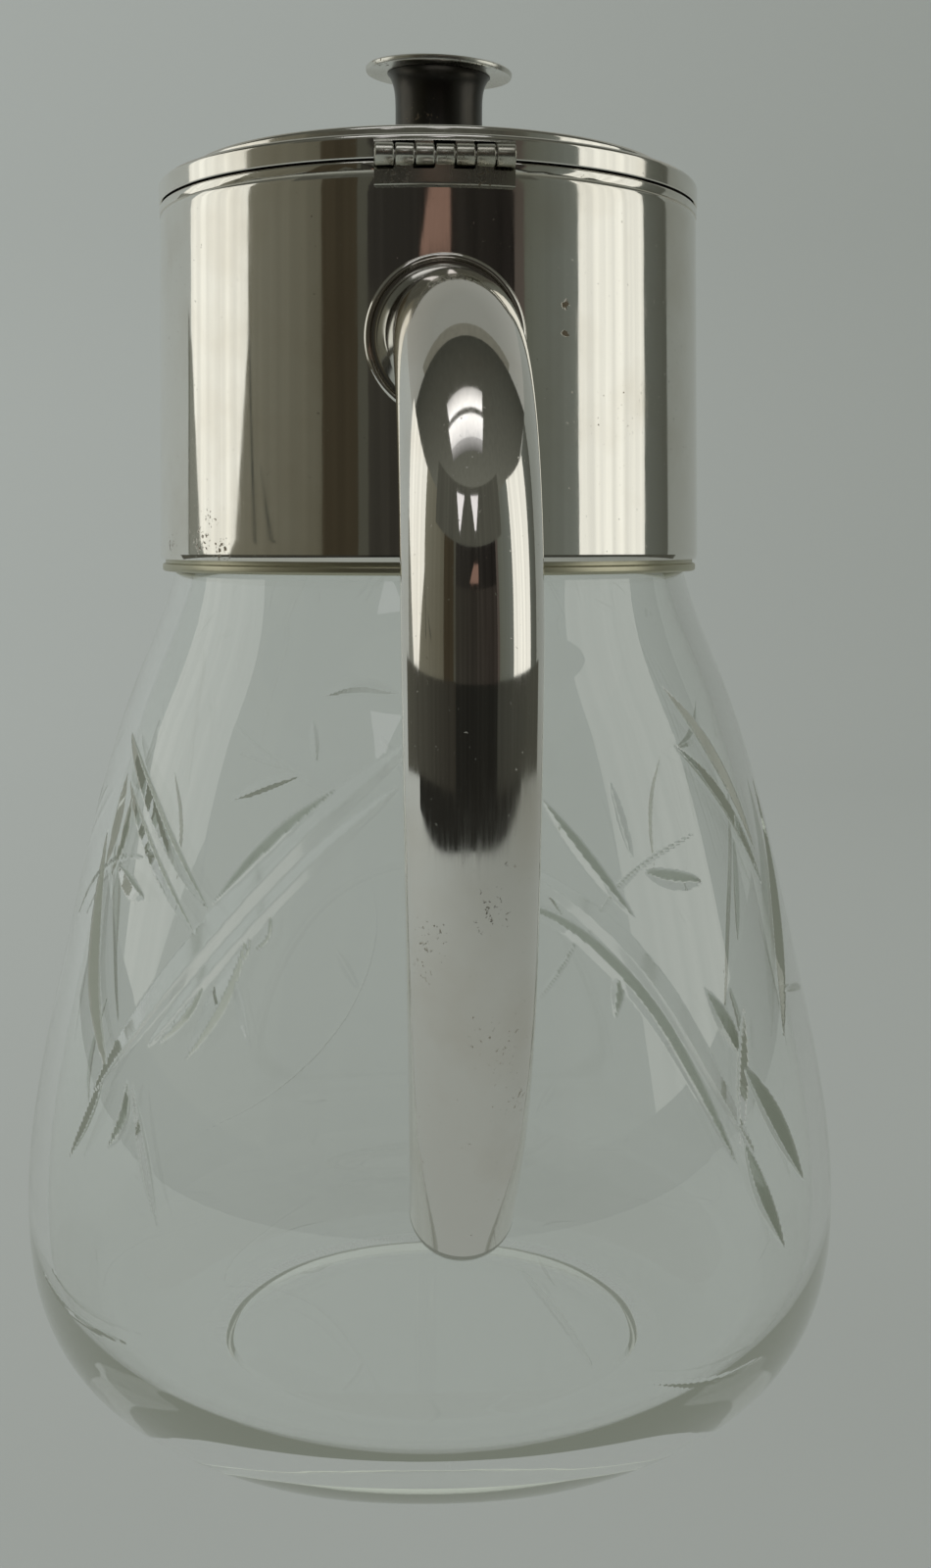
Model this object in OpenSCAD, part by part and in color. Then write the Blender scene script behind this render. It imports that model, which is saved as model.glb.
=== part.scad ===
// Glass claret jug with a plated collar, a hinged lid and a hollow bow handle.
// The jug stands on the XY plane with its axis on Z. The handle and the hinge
// are on -Y, the pouring lip is on +Y. All sizes are in millimetres.

/* [Glass body] */
// Widest diameter of the glass, at its belly
belly_d = 156.8; // [148:0.2:176]
// Height of the widest point above the table
belly_z = 36; // [28:1:46]
// Outer diameter of the foot that the jug stands on
foot_d = 93; // [80:1:108]
// Width of the flat ring round the foot
foot_ring_w = 5; // [3:0.5:10]
// Depth of the hollow ground into the underside
kick_h = 1.2; // [0.5:0.1:2.5]
// Fullness of the corner between belly and foot, where 2 is an ellipse
base_fullness = 2.4; // [2:0.1:3]
// Diameter of the flank above the belly
flank_d = 139.2; // [130:0.2:146]
// Height of that flank diameter
flank_z = 88; // [78:1:98]
// Lean of the flank, sideways per unit of height
flank_lean = 0.235; // [0.15:0.005:0.32]
// Diameter of the shoulder under the neck
shoulder_d = 115.2; // [108:0.2:122]
// Height of that shoulder diameter
shoulder_z = 131.5; // [124:0.5:140]
// Lean of the shoulder, sideways per unit of height
shoulder_lean = 0.36; // [0.25:0.01:0.45]
// Outer diameter of the straight neck
neck_d = 93.2; // [86:0.2:98]
// Height at which the neck starts to run straight
neck_z = 166; // [160:0.5:174]
// Length of the straight neck inside the collar
neck_h = 12; // [8:0.5:16]
// Thickness of the glass wall
wall_t = 3.6; // [2.6:0.1:5]
// Height of the inner floor above the table
floor_t = 7; // [5:0.5:11]

/* [Collar] */
// Height of the collar with its rim
collar_h = 62.6; // [58:0.1:70]
// How far the collar reaches down below the start of the straight neck
collar_drop = 6.7; // [4:0.1:9]
// Thickness of the collar's sheet
collar_t = 0.9; // [0.7:0.1:1.4]
// Room for plaster between the neck and the top of the collar
plaster_room = 1.5; // [1:0.1:3]
// How much the collar's radius grows from top to bottom
collar_flare = 1.4; // [0:0.1:2.5]
// Height of the rim on top of the collar
rim_h = 1.5; // [1.2:0.1:2.5]
// Width of the rim's flat seat
rim_w = 4.5; // [3.5:0.1:6]
// Radius on the rim's outer edge
rim_edge_r = 0.4; // [0.2:0.1:0.7]
// Height of the unplated ring that shows under the collar
trim_h = 2.2; // [1.5:0.1:3]
// Step from the collar in to the unplated ring
trim_inset = 0.3; // [0.1:0.1:0.6]
// How far the unplated ring reaches up inside the collar
trim_spigot_h = 3; // [2:0.5:4]
// Thickness of the ring that lies over the glass lip
stop_ring_t = 1; // [0.8:0.1:2]

/* [Pouring lip] */
// Width of the lip where it meets the collar
lip_w = 36; // [28:1:44]
// How far the lip reaches out from the collar
lip_reach = 15; // [10:0.5:20]
// Height of the lip
lip_h = 35; // [31:0.5:36]
// Thickness of the lip's sheet
lip_t = 0.9; // [0.8:0.1:1.3]
// How far the lip's foot stands out of the collar
lip_foot_out = 0.6; // [0.4:0.1:0.8]
// How pointed the lip is, where 1 is a soft round beak
lip_point = 1; // [0.8:0.05:1.2]
// Width of the window that the lip covers
window_w = 16; // [12:0.5:17]
// Height of that window
window_h = 14; // [10:0.5:15]
// Diameter of the strainer's holes
strainer_hole_d = 2.4; // [1.6:0.1:2.8]
// Distance between the strainer's holes
strainer_pitch = 3.8; // [3.4:0.1:6]
// Thickness of the strainer
strainer_t = 0.8; // [0.6:0.1:1.2]

/* [Lid] */
// Height of the lid's upright band
band_h = 3.8; // [3.6:0.1:5.5]
// Thickness of the lid's sheet
lid_t = 0.9; // [0.7:0.1:1.2]
// How far the lid stands out past the collar
lid_overhang = 0.15; // [0:0.05:0.6]
// Gap between the closed lid and the rim
lid_gap = 0.3; // [0.1:0.05:0.4]
// Radius on the lid's outer edge
lid_edge_r = 0.8; // [0.3:0.1:1.2]
// Width of the flat round the raised middle
lid_flat_w = 5.1; // [4:0.1:8]
// Height of the step up to the raised middle
step_h = 2.4; // [2:0.1:4]
// Radius in the foot of the step
cove_r = 1; // [0.4:0.1:1.2]
// Rise of the dome above the step
dome_h = 4; // [2:0.25:8]
// Depth of the ring that centres the lid in the rim
spigot_h = 3; // [2:0.25:4.5]
// Thickness of that ring
spigot_t = 1; // [0.8:0.1:1.6]
// Gap round that ring
spigot_gap = 0.6; // [0.5:0.05:1.2]

/* [Knob] */
// Diameter of the knob's disc
knob_d = 26.7; // [22:0.1:32]
// Thickness of the disc at its rim
knob_rim_t = 1; // [0.8:0.1:2]
// Rise of the disc's domed top
knob_dome_h = 0.8; // [0:0.1:3]
// Height of the neck under the disc
knob_neck_h = 14.7; // [10:0.1:20]
// Diameter of the neck at its waist
knob_waist_d = 15.9; // [13:0.1:18]
// Diameter of the neck's foot
knob_foot_d = 17.2; // [16:0.1:19.5]
// Diameter of the flare under the disc
knob_flare_d = 21; // [18.5:0.1:21.8]
// Diameter of the bore inside the neck
knob_bore_d = 10.6; // [9:0.1:11.5]
// Distance from the lid's middle to the knob's axis, to the right seen from the handle
knob_shift = 1.9; // [0:0.1:3]
// Diameter of the stud that holds the knob
stud_d = 3.9; // [3:0.1:5]
// Gap round the stud in the lid and the washer
stud_gap = 0.25; // [0.1:0.05:0.4]
// Diameter of the washer
washer_d = 13; // [10:0.5:16]
// Thickness of the washer
washer_t = 0.8; // [0.5:0.1:1.2]
// Width of the nut across its flats
nut_af = 7; // [6.5:0.5:9]
// Height of the nut
nut_h = 3; // [2.4:0.1:4]

/* [Hinge] */
// Length of the hinge
hinge_w = 22.3; // [18:0.1:28]
// Number of knuckles, an odd number
knuckle_count = 7; // [5:2:9]
// Radius of the knuckles
knuckle_r = 1.75; // [1.5:0.05:1.9]
// Diameter of the hinge pin
pin_d = 1.6; // [1.2:0.1:1.8]
// Radial clearance round the pin
pin_fit = 0.05; // [0.02:0.01:0.08]
// Gap between neighbouring knuckles
knuckle_gap = 0.2; // [0.1:0.05:0.3]
// Radial relief round the other leaf's knuckles
knuckle_relief = 0.3; // [0.2:0.05:0.4]
// Height of the pin above the rim
hinge_rise = 0.6; // [0.4:0.05:0.9]
// Distance of the pin's axis outside the top of the collar
hinge_out = 0.4; // [0.2:0.05:0.8]
// How far the lid's leaf stands above the pin's axis
lid_leaf_h = 2.45; // [2.35:0.05:2.5]
// How far the collar's leaf reaches down below the rim
collar_leaf_h = 4; // [3.5:0.1:6]
// Thickness of both leaves
leaf_t = 3.4; // [3.2:0.1:3.8]
// How far the leaves stand proud of the pin's axis
leaf_proud = 0.7; // [0.4:0.05:0.9]

/* [Handle] */
// Distance from the hinge end of the collar down to the handle's root
root_drop = 26.8; // [24:0.1:32]
// Distance from the handle's free end out to the axis of its straight run
handle_reach = 20.65; // [14:0.05:28]
// Drop from the root to the straight run
bow_drop = 51.4; // [40:0.2:60]
// Roundness of the upper bow
bow_pull = 0.66; // [0.5:0.01:0.75]
// Length of the straight run
straight_h = 28; // [18:0.5:36]
// Drop from the straight run to the handle's free end
curl_drop = 51.7; // [44:0.1:56]
// Angle of the free end from the upright
curl_angle = 38; // [10:1:50]
// Gap between the handle's free end and the glass
stand_off = 1.8; // [1:0.1:5]
// Radius of the tube at its root
root_r = 7.9; // [7:0.1:8.4]
// Radius of the tube where it is fullest
grip_r = 9.4; // [8.5:0.1:10.5]
// Radius of the tube at its free end
end_r = 7.8; // [7:0.1:9]
// Thickness of the tube's wall
tube_t = 1.2; // [0.8:0.1:1.6]
// Height of the domed end cap
cap_h = 6.4; // [4:0.1:8]
// Length of the cap's spigot inside the tube
cap_spigot_h = 4; // [3:0.5:6]
// Diameter of the round plate at the handle's root
flange_d = 27; // [25:0.5:30]
// Thickness of that plate where it lies on the collar
flange_t = 1.3; // [1:0.1:2]
// Height of the boss that the tube stands on
boss_h = 3.2; // [2.8:0.1:4.5]
// Width of the raised wire round the plate
wire_w = 1; // [0.8:0.1:1.5]
// Height of that wire
wire_h = 1.9; // [1.5:0.1:2.5]
// Diameter of the plate that stiffens the collar from inside
backing_d = 24; // [20:0.5:26]
// Thickness of the inside plate
backing_t = 1.2; // [0.8:0.1:2]

/* [Hidden] */
$fn = 96;

// Colours, as the photograph shows them
SILVER = [0.78, 0.77, 0.73];
DARK_SILVER = [0.55, 0.55, 0.52];
KHAKI = [0.56, 0.55, 0.44];
GLASS = [0.80, 0.88, 0.86, 0.35];
PLASTER = [0.90, 0.88, 0.82];

// Glass
belly_r = belly_d / 2;
foot_r = foot_d / 2;
flank_r = flank_d / 2;
shoulder_r = shoulder_d / 2;
neck_r = neck_d / 2;
glass_top = neck_z + neck_h;
floor_r = foot_r - foot_ring_w / 2;
CURVE_STEPS = 14;
// The three runs of the glass wall from the neck down to the belly:
// both ends as [radius, height], and the lean at each end
RUNS = [
    [[neck_r, neck_z], [shoulder_r, shoulder_z], 0, shoulder_lean],
    [[shoulder_r, shoulder_z], [flank_r, flank_z], shoulder_lean, flank_lean],
    [[flank_r, flank_z], [belly_r, belly_z], flank_lean, 0]
];

// Collar
collar_z = neck_z - collar_drop;
collar_top = collar_z + collar_h;
rim_z = collar_top - rim_h;
collar_r_top = neck_r + plaster_room + collar_t;
RIM_PROUD = 0.1;
rim_r = collar_r_top + RIM_PROUD;
rim_in_r = rim_r - rim_w;
BEDDING = 0.2;
GLASS_ROOM = 0.4;
WINDOW_DROP = 3.4;
LIP_OVER_RIM = 1;
LIP_SINK = 0.5;

// Lid
lid_z = collar_top + lid_gap;
lid_r = collar_r_top + lid_overhang;
flat_z = lid_z + band_h;
step_r = lid_r - lid_flat_w;
step_z = flat_z + step_h;
STEP_EDGE_R = 0.8;
// How far the rounding over the step turns, in degrees, before the dome takes over
STEP_EDGE_TURN = 70;
dome_r = step_r - STEP_EDGE_R;
KNOB_FOOT_ROOM = 0.6;
seat_r = knob_foot_d / 2 + knob_shift + KNOB_FOOT_ROOM;
seat_z = dome_z(seat_r);
spigot_r = rim_in_r - spigot_gap;

// Knob
disc_z = seat_z + knob_neck_h;
KNOB_BOSS_H = 5;
KNOB_BOSS_WALL = 2;
boss_r = stud_d / 2 + KNOB_BOSS_WALL;
washer_z = seat_z - lid_t - washer_t;
nut_z = washer_z - nut_h;
STUD_TAIL = 1;
THREAD_GAP = 0.05;

// Hinge
hinge_y = -(collar_r_top + hinge_out);
hinge_z = collar_top + hinge_rise;
knuckle_w = hinge_w / knuckle_count;
relief_r = knuckle_r + knuckle_relief;
leaf_front = hinge_y - leaf_proud;
leaf_back = leaf_front + leaf_t;

// Handle
root_z = collar_top - root_drop;
root_y = collar_r(root_z) + boss_h;
run_z = root_z - bow_drop;
curl_z = run_z - straight_h;
end_z = curl_z - curl_drop;
end_y = glass_r(end_z) + stand_off + end_r;
run_y = end_y + handle_reach;
end_dir = [-sin(curl_angle), -cos(curl_angle)];
TUBE_SIDES = 28;
BORE_SIDES = 14;
BIG = 200;
// How far a cutting shape runs past the face that it cuts
CUT_OVER = 1;

// ---------------------------------------------------------------- curves

// Radius at share t of a smooth run from [r, z] a down to b, with the lean at each end
function run_r(a, b, lean_a, lean_b, t) =
    let (h = a[1] - b[1])
    a[0] * (1 - 3 * t * t + 2 * t * t * t) + b[0] * (3 * t * t - 2 * t * t * t)
    + h * lean_a * (t - 2 * t * t + t * t * t) + h * lean_b * (t * t * t - t * t);

// Outer radius of the glass at height z
function glass_r(z) =
    z >= neck_z ? neck_r :
    z >= shoulder_z ? glass_run_r(RUNS[0], z) :
    z >= flank_z ? glass_run_r(RUNS[1], z) :
    z >= belly_z ? glass_run_r(RUNS[2], z) :
    foot_r + (belly_r - foot_r) * pow(1 - pow(1 - z / belly_z, base_fullness), 1 / base_fullness);

function glass_run_r(run, z) =
    run_r(run[0], run[1], run[2], run[3], (run[0][1] - z) / (run[0][1] - run[1][1]));

// Points of the wall from the neck to the belly, drawn in by the given inset
function wall_points(inset) = [
    for (run = RUNS, k = [0:CURVE_STEPS - 1])
        let (t = k / CURVE_STEPS)
        [run_r(run[0], run[1], run[2], run[3], t) - inset,
         run[0][1] + (run[1][1] - run[0][1]) * t]
];

// Points of a full corner from radius r0 at z0 down to radius r1 at z1
function corner_points(r0, z0, r1, z1) = [
    for (k = [0:CURVE_STEPS])
        let (a = 90 * k / CURVE_STEPS)
        [r1 + (r0 - r1) * pow(max(cos(a), 0), 2 / base_fullness),
         z0 + (z1 - z0) * pow(sin(a), 2 / base_fullness)]
];

function reversed(points) = [for (k = [len(points) - 1:-1:0]) points[k]];

// Points of an arc about [x, y] from angle a0 to a1
function arc_points(x, y, r, a0, a1, steps = 6) = [
    for (k = [0:steps])
        let (a = a0 + (a1 - a0) * k / steps)
        [x + r * cos(a), y + r * sin(a)]
];

// Outer radius of the collar's sleeve at height z
function collar_r(z) = collar_r_top + collar_flare * (rim_z - z) / (rim_z - collar_z);

// Height of the lid's dome at radius r
function dome_z(r) = step_z + dome_h * (1 - r * r / (dome_r * dome_r));

// ---------------------------------------------------------------- glass

module glass_body() {
    color(GLASS)
    rotate_extrude()
    polygon(concat(
        [[neck_r, glass_top]],
        wall_points(0),
        corner_points(belly_r, belly_z, foot_r, 0),
        [[foot_r - foot_ring_w, 0], [foot_r - foot_ring_w - kick_h, kick_h], [0, kick_h]],
        [[0, floor_t]],
        reversed(corner_points(belly_r - wall_t, belly_z, floor_r, floor_t)),
        reversed(wall_points(wall_t)),
        [[neck_r - wall_t, glass_top]]
    ));
}

// ---------------------------------------------------------------- collar

// Section of a ring that fills from radius r_in out to the sleeve's inner face
module ring_to_sleeve(r_in, z0, z1) {
    polygon([
        [r_in, z0], [collar_r(z0) - collar_t, z0],
        [collar_r(z1) - collar_t, z1], [r_in, z1]
    ]);
}

// Space cut away for the hinge, above height z0
module hinge_notch(z0) {
    translate([-hinge_w / 2, -BIG, z0]) cube([hinge_w, BIG + leaf_back, BIG]);
}

// Plaster that holds the collar on the neck
module plaster_ring() {
    color(PLASTER)
    rotate_extrude() ring_to_sleeve(neck_r, neck_z, glass_top);
}

window_z = rim_z - WINDOW_DROP - window_h;

module collar_sleeve() {
    color(SILVER)
    difference() {
        rotate_extrude()
        polygon([
            [collar_r(collar_z), collar_z], [collar_r_top, rim_z],
            [collar_r_top - collar_t, rim_z], [collar_r(collar_z) - collar_t, collar_z]
        ]);
        hinge_notch(collar_top - collar_leaf_h);
        translate([-window_w / 2, 0, window_z]) cube([window_w, BIG, window_h]);
    }
}

// Flat seat that the lid closes on
module collar_rim() {
    color(SILVER)
    difference() {
        rotate_extrude()
        polygon(concat(
            [[rim_in_r, rim_z], [rim_r, rim_z]],
            arc_points(rim_r - rim_edge_r, collar_top - rim_edge_r, rim_edge_r, 0, 90),
            [[rim_in_r, collar_top]]
        ));
        hinge_notch(rim_z - CUT_OVER);
    }
}

trim_in_r = glass_r(collar_z - trim_h) + GLASS_ROOM;
trim_out_r = collar_r(collar_z) - trim_inset;

// Unplated ring whose edge shows under the collar
module collar_trim_ring() {
    color(KHAKI)
    rotate_extrude() {
        polygon([
            [trim_in_r, collar_z - trim_h], [trim_out_r, collar_z - trim_h],
            [trim_out_r, collar_z], [trim_in_r, collar_z]
        ]);
        ring_to_sleeve(trim_in_r, collar_z, collar_z + trim_spigot_h);
    }
}

// Ring soldered in over the lip of the glass
module glass_stop_ring() {
    stop_z = glass_top + BEDDING;
    color(DARK_SILVER)
    rotate_extrude() ring_to_sleeve(neck_r - wall_t, stop_z, stop_z + stop_ring_t);
}

// ---------------------------------------------------------------- pouring lip

lip_top = rim_z + LIP_OVER_RIM;
LIP_LEVELS = 12;
LIP_POINTS = 24;
LIP_FOOT = 0.04;
LIP_WIDENING = 0.7;
LIP_SWEEP = 1.7;
LIP_BACK = 4;

// Section of the lip at share v of its height, drawn in by the given inset: a beak
// that runs out of the collar's round wall in a soft curve on both sides
function lip_section(v, z, inset) =
    let (half_w = max(lip_w / 2 * pow(v, LIP_WIDENING) - inset, 0.1),
         out = max(lip_reach * pow(v, LIP_SWEEP) + lip_foot_out + LIP_SINK - inset, 0.1),
         wall_y = sqrt(pow(collar_r(z), 2) - half_w * half_w) - LIP_SINK)
    concat(
        [for (k = [0:LIP_POINTS])
            let (s = 2 * k / LIP_POINTS - 1, x = half_w * s)
            [x, sqrt(pow(collar_r(z), 2) - x * x) - LIP_SINK + out * pow(cos(90 * s), lip_point)]],
        [[half_w, wall_y - LIP_BACK], [-half_w, wall_y - LIP_BACK]]
    );

// Solid of the lip from its pointed foot up, drawn in by the given inset
module lip_solid(inset, over) {
    count = LIP_POINTS + 3;
    top = LIP_LEVELS * count;
    polyhedron(
        points = [
            for (k = [0:LIP_LEVELS])
                let (v = LIP_FOOT + (1 - LIP_FOOT) * k / LIP_LEVELS, z = lip_top - lip_h * (1 - v))
                for (p = lip_section(v, z, inset)) [p[0], p[1], z + (k == LIP_LEVELS ? over : 0)]
        ],
        faces = concat(
            [for (k = [0:LIP_LEVELS - 1], j = [0:count - 1])
                let (a = k * count + j, b = k * count + (j + 1) % count)
                each [[a, b, b + count], [a, b + count, a + count]]],
            [[for (j = [count - 1:-1:0]) j]],
            [[for (j = [0:count - 1]) top + j]]
        )
    );
}

module pouring_lip() {
    color(SILVER)
    difference() {
        lip_solid(0, 0);
        lip_solid(lip_t, CUT_OVER);
        rotate_extrude()
        polygon([
            [0, collar_z], [collar_r(collar_z), collar_z], [collar_r_top, rim_z],
            [rim_r, rim_z], [rim_r, lip_top + 2 * CUT_OVER], [0, lip_top + 2 * CUT_OVER]
        ]);
    }
}

STRAINER_LAP = 2;
strainer_w = window_w + 2 * STRAINER_LAP;
strainer_z = window_z - STRAINER_LAP;
strainer_h = window_h + 2 * STRAINER_LAP;

// Centres [x, z] of the strainer's holes, in staggered rows inside the window
row_step = strainer_pitch * sqrt(3) / 2;
HOLE_EDGE = 0.5;
hole_room_w = window_w - strainer_hole_d - 2 * HOLE_EDGE;
hole_room_h = window_h - strainer_hole_d - 2 * HOLE_EDGE;
hole_rows = floor(hole_room_h / row_step);
strainer_holes = [
    for (row = [0:hole_rows])
        let (count = floor(hole_room_w / strainer_pitch) + (row % 2 == 0 ? 1 : 0))
        for (k = [0:count - 1])
            [(k - (count - 1) / 2) * strainer_pitch,
             window_z + window_h / 2 + (row - hole_rows / 2) * row_step]
];

// Pierced plate behind the window, soldered to the inside of the collar
module strainer() {
    color(DARK_SILVER)
    difference() {
        rotate_extrude()
        polygon([
            [collar_r(strainer_z) - collar_t - strainer_t, strainer_z],
            [collar_r(strainer_z) - collar_t, strainer_z],
            [collar_r(strainer_z + strainer_h) - collar_t, strainer_z + strainer_h],
            [collar_r(strainer_z + strainer_h) - collar_t - strainer_t, strainer_z + strainer_h]
        ]);
        translate([-BIG, -BIG, 0]) cube([2 * BIG, BIG, 2 * BIG]);
        for (side = [-1, 1])
            translate([side * (BIG + strainer_w) / 2 - BIG / 2, -CUT_OVER, 0]) cube([BIG, BIG, 2 * BIG]);
        for (hole = strainer_holes)
            translate([hole[0], 0, hole[1]]) rotate([-90, 0, 0]) cylinder(d = strainer_hole_d, h = BIG);
    }
}

// ---------------------------------------------------------------- lid

// Outer line of the spun lid from the band up to its middle
function lid_line(inset) = concat(
    arc_points(lid_r - lid_edge_r, flat_z - lid_edge_r, max(lid_edge_r - inset, 0.05), 0, 90),
    arc_points(step_r + cove_r, flat_z + cove_r, cove_r + inset, -90, -180),
    arc_points(step_r - STEP_EDGE_R, step_z - STEP_EDGE_R, max(STEP_EDGE_R - inset, 0.05), 0, STEP_EDGE_TURN),
    [for (k = [1:8])
        let (r = dome_r - inset + (seat_r - dome_r + inset) * k / 8)
        [r, dome_z(r) - inset]],
    [[0, seat_z - inset]]
);

module lid_cover() {
    color(SILVER)
    difference() {
        rotate_extrude()
        polygon(concat(
            [[lid_r, lid_z]],
            lid_line(0),
            reversed(lid_line(lid_t)),
            [[lid_r - lid_t, lid_z]]
        ));
        translate([knob_shift, 0, lid_z]) cylinder(d = stud_d + 2 * stud_gap, h = BIG);
        translate([-hinge_w / 2, -BIG, lid_z - CUT_OVER])
            cube([hinge_w, BIG + leaf_back, CUT_OVER + hinge_z + lid_leaf_h - lid_z]);
    }
}

// Ring under the lid that drops inside the rim
module lid_centring_ring() {
    shelf_r = lid_r - lid_t;
    color(DARK_SILVER)
    difference() {
        rotate_extrude()
        polygon([
            [spigot_r - spigot_t, lid_z - spigot_h], [spigot_r, lid_z - spigot_h],
            [spigot_r, lid_z], [shelf_r, lid_z], [shelf_r, lid_z + spigot_t],
            [spigot_r - spigot_t, lid_z + spigot_t]
        ]);
        hinge_notch(lid_z - CUT_OVER);
    }
}

// ---------------------------------------------------------------- knob

// Radius of the knob's neck at share u of its height
function knob_r(u) =
    u < 0.5
        ? knob_waist_d / 2 + (knob_foot_d - knob_waist_d) / 2 * pow(1 - 2 * u, 2)
        : knob_waist_d / 2 + (knob_flare_d - knob_waist_d) / 2 * pow(2 * u - 1, 4);

module knob_neck() {
    NECK_STEPS = 20;
    color(DARK_SILVER)
    translate([knob_shift, 0, seat_z])
    rotate_extrude()
    polygon(concat(
        [for (k = [0:NECK_STEPS]) [knob_r(k / NECK_STEPS), knob_neck_h * k / NECK_STEPS]],
        [[knob_bore_d / 2, knob_neck_h], [knob_bore_d / 2, 0]]
    ));
}

module knob_disc() {
    EDGE_STEPS = 8;
    color(SILVER)
    translate([knob_shift, 0, disc_z])
    difference() {
        rotate_extrude()
        polygon(concat(
            [[0, -KNOB_BOSS_H], [boss_r, -KNOB_BOSS_H], [boss_r, 0], [knob_d / 2, 0]],
            [for (k = [0:EDGE_STEPS])
                let (r = knob_d / 2 * (1 - k / EDGE_STEPS))
                [r, knob_rim_t + knob_dome_h * (1 - pow(2 * r / knob_d, 2))]]
        ));
        translate([0, 0, -KNOB_BOSS_H - CUT_OVER])
            cylinder(d = stud_d + 2 * THREAD_GAP, h = KNOB_BOSS_H + CUT_OVER);
    }
}

module knob_stud() {
    stud_z = nut_z - STUD_TAIL;
    color(DARK_SILVER)
    translate([knob_shift, 0, stud_z]) cylinder(d = stud_d, h = disc_z - stud_z);
}

module knob_washer() {
    color(DARK_SILVER)
    translate([knob_shift, 0, washer_z])
    difference() {
        cylinder(d = washer_d, h = washer_t);
        translate([0, 0, -CUT_OVER]) cylinder(d = stud_d + 2 * stud_gap, h = washer_t + 2 * CUT_OVER);
    }
}

module knob_nut() {
    color(KHAKI)
    translate([knob_shift, 0, nut_z])
    difference() {
        cylinder(d = nut_af / cos(30), h = nut_h, $fn = 6);
        translate([0, 0, -CUT_OVER]) cylinder(d = stud_d + 2 * THREAD_GAP, h = nut_h + 2 * CUT_OVER);
    }
}

// ---------------------------------------------------------------- hinge

// A cylinder along X on the hinge's axis, over knuckle k, grown by extra at each end
module hinge_rod(k, r, extra) {
    translate([-hinge_w / 2 + k * knuckle_w - extra, hinge_y, hinge_z])
        rotate([0, 90, 0]) cylinder(r = r, h = knuckle_w + 2 * extra);
}

module pin_bore() {
    translate([-hinge_w, hinge_y, hinge_z])
        rotate([0, 90, 0]) cylinder(r = pin_d / 2 + pin_fit, h = 2 * hinge_w);
}

// A leaf with the knuckles whose number is first, first + 2 and so on
module leaf(first, z0, z1) {
    difference() {
        union() {
            difference() {
                translate([-hinge_w / 2, leaf_front, z0]) cube([hinge_w, leaf_t, z1 - z0]);
                for (k = [1 - first:2:knuckle_count - 1])
                    hinge_rod(k, relief_r, knuckle_gap / 2);
            }
            for (k = [first:2:knuckle_count - 1]) hinge_rod(k, knuckle_r, -knuckle_gap / 2);
        }
        pin_bore();
    }
}

module hinge_collar_leaf() {
    color(SILVER)
    leaf(1, collar_top - collar_leaf_h, collar_top);
}

module hinge_lid_leaf() {
    color(SILVER)
    leaf(0, lid_z, hinge_z + lid_leaf_h);
}

module hinge_pin() {
    color(DARK_SILVER)
    translate([-hinge_w / 2, hinge_y, hinge_z]) rotate([0, 90, 0]) cylinder(d = pin_d, h = hinge_w);
}

// ---------------------------------------------------------------- handle

function bezier(p, t) =
    pow(1 - t, 3) * p[0] + 3 * pow(1 - t, 2) * t * p[1] + 3 * (1 - t) * t * t * p[2] + t * t * t * p[3];

// Centreline of the handle as [distance from the axis, height]: bow, straight run, curl
ROOT = [root_y, root_z];
RUN_TOP = [run_y, run_z];
RUN_LOW = [run_y, curl_z];
TUBE_END = [end_y, end_z];
curl_len = norm(TUBE_END - RUN_LOW);
CURL_PULL = 0.5;
TIP_PULL = 0.28;
BOW = [ROOT, ROOT + [bow_pull * (run_y - root_y), 0], RUN_TOP + [0, bow_pull * bow_drop], RUN_TOP];
RUN = [RUN_TOP, RUN_TOP + [0, -straight_h / 3], RUN_LOW + [0, straight_h / 3], RUN_LOW];
CURL = [
    RUN_LOW, RUN_LOW + [0, -CURL_PULL * curl_len],
    TUBE_END - TIP_PULL * curl_len * end_dir, TUBE_END
];
BOW_STEPS = 18;
RUN_STEPS = 4;
CURL_STEPS = 16;
spine = concat(
    [for (k = [0:BOW_STEPS]) bezier(BOW, k / BOW_STEPS)],
    [for (k = [1:RUN_STEPS]) bezier(RUN, k / RUN_STEPS)],
    [for (k = [1:CURL_STEPS]) bezier(CURL, k / CURL_STEPS)]
);
LAST = len(spine) - 1;

// Length of the spine up to point k
spine_at = [for (k = 0, s = 0; k <= LAST; k = k + 1, s = k > LAST ? s : s + norm(spine[k] - spine[k - 1])) s];

// Direction of the spine at point k, exact at both ends
function spine_dir(k) =
    k == 0 ? [1, 0] :
    k == LAST ? end_dir :
    (spine[k + 1] - spine[k - 1]) / norm(spine[k + 1] - spine[k - 1]);

// The tube swells from its root to the grip and narrows to its free end
SWELL_END = 0.2;
GRIP_END = 0.45;
TAPER_POWER = 1.5;
function tube_r(share) =
    share < SWELL_END ? root_r + (grip_r - root_r) * sin(90 * share / SWELL_END) :
    share < GRIP_END ? grip_r :
    grip_r + (end_r - grip_r) * pow((share - GRIP_END) / (1 - GRIP_END), TAPER_POWER);

// Ring of the tube at spine point k, its radius less the inset, moved on along the spine
function tube_ring(k, inset, sides, moved_on = 0) =
    let (
        d = spine_dir(k),
        at = spine[k] + moved_on * d,
        r = tube_r(spine_at[k] / spine_at[LAST]) - inset
    )
    [for (j = [0:sides - 1])
        let (a = 360 * j / sides, out = r * cos(a))
        [r * sin(a), -(at[0] - d[1] * out), at[1] + d[0] * out]];

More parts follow.
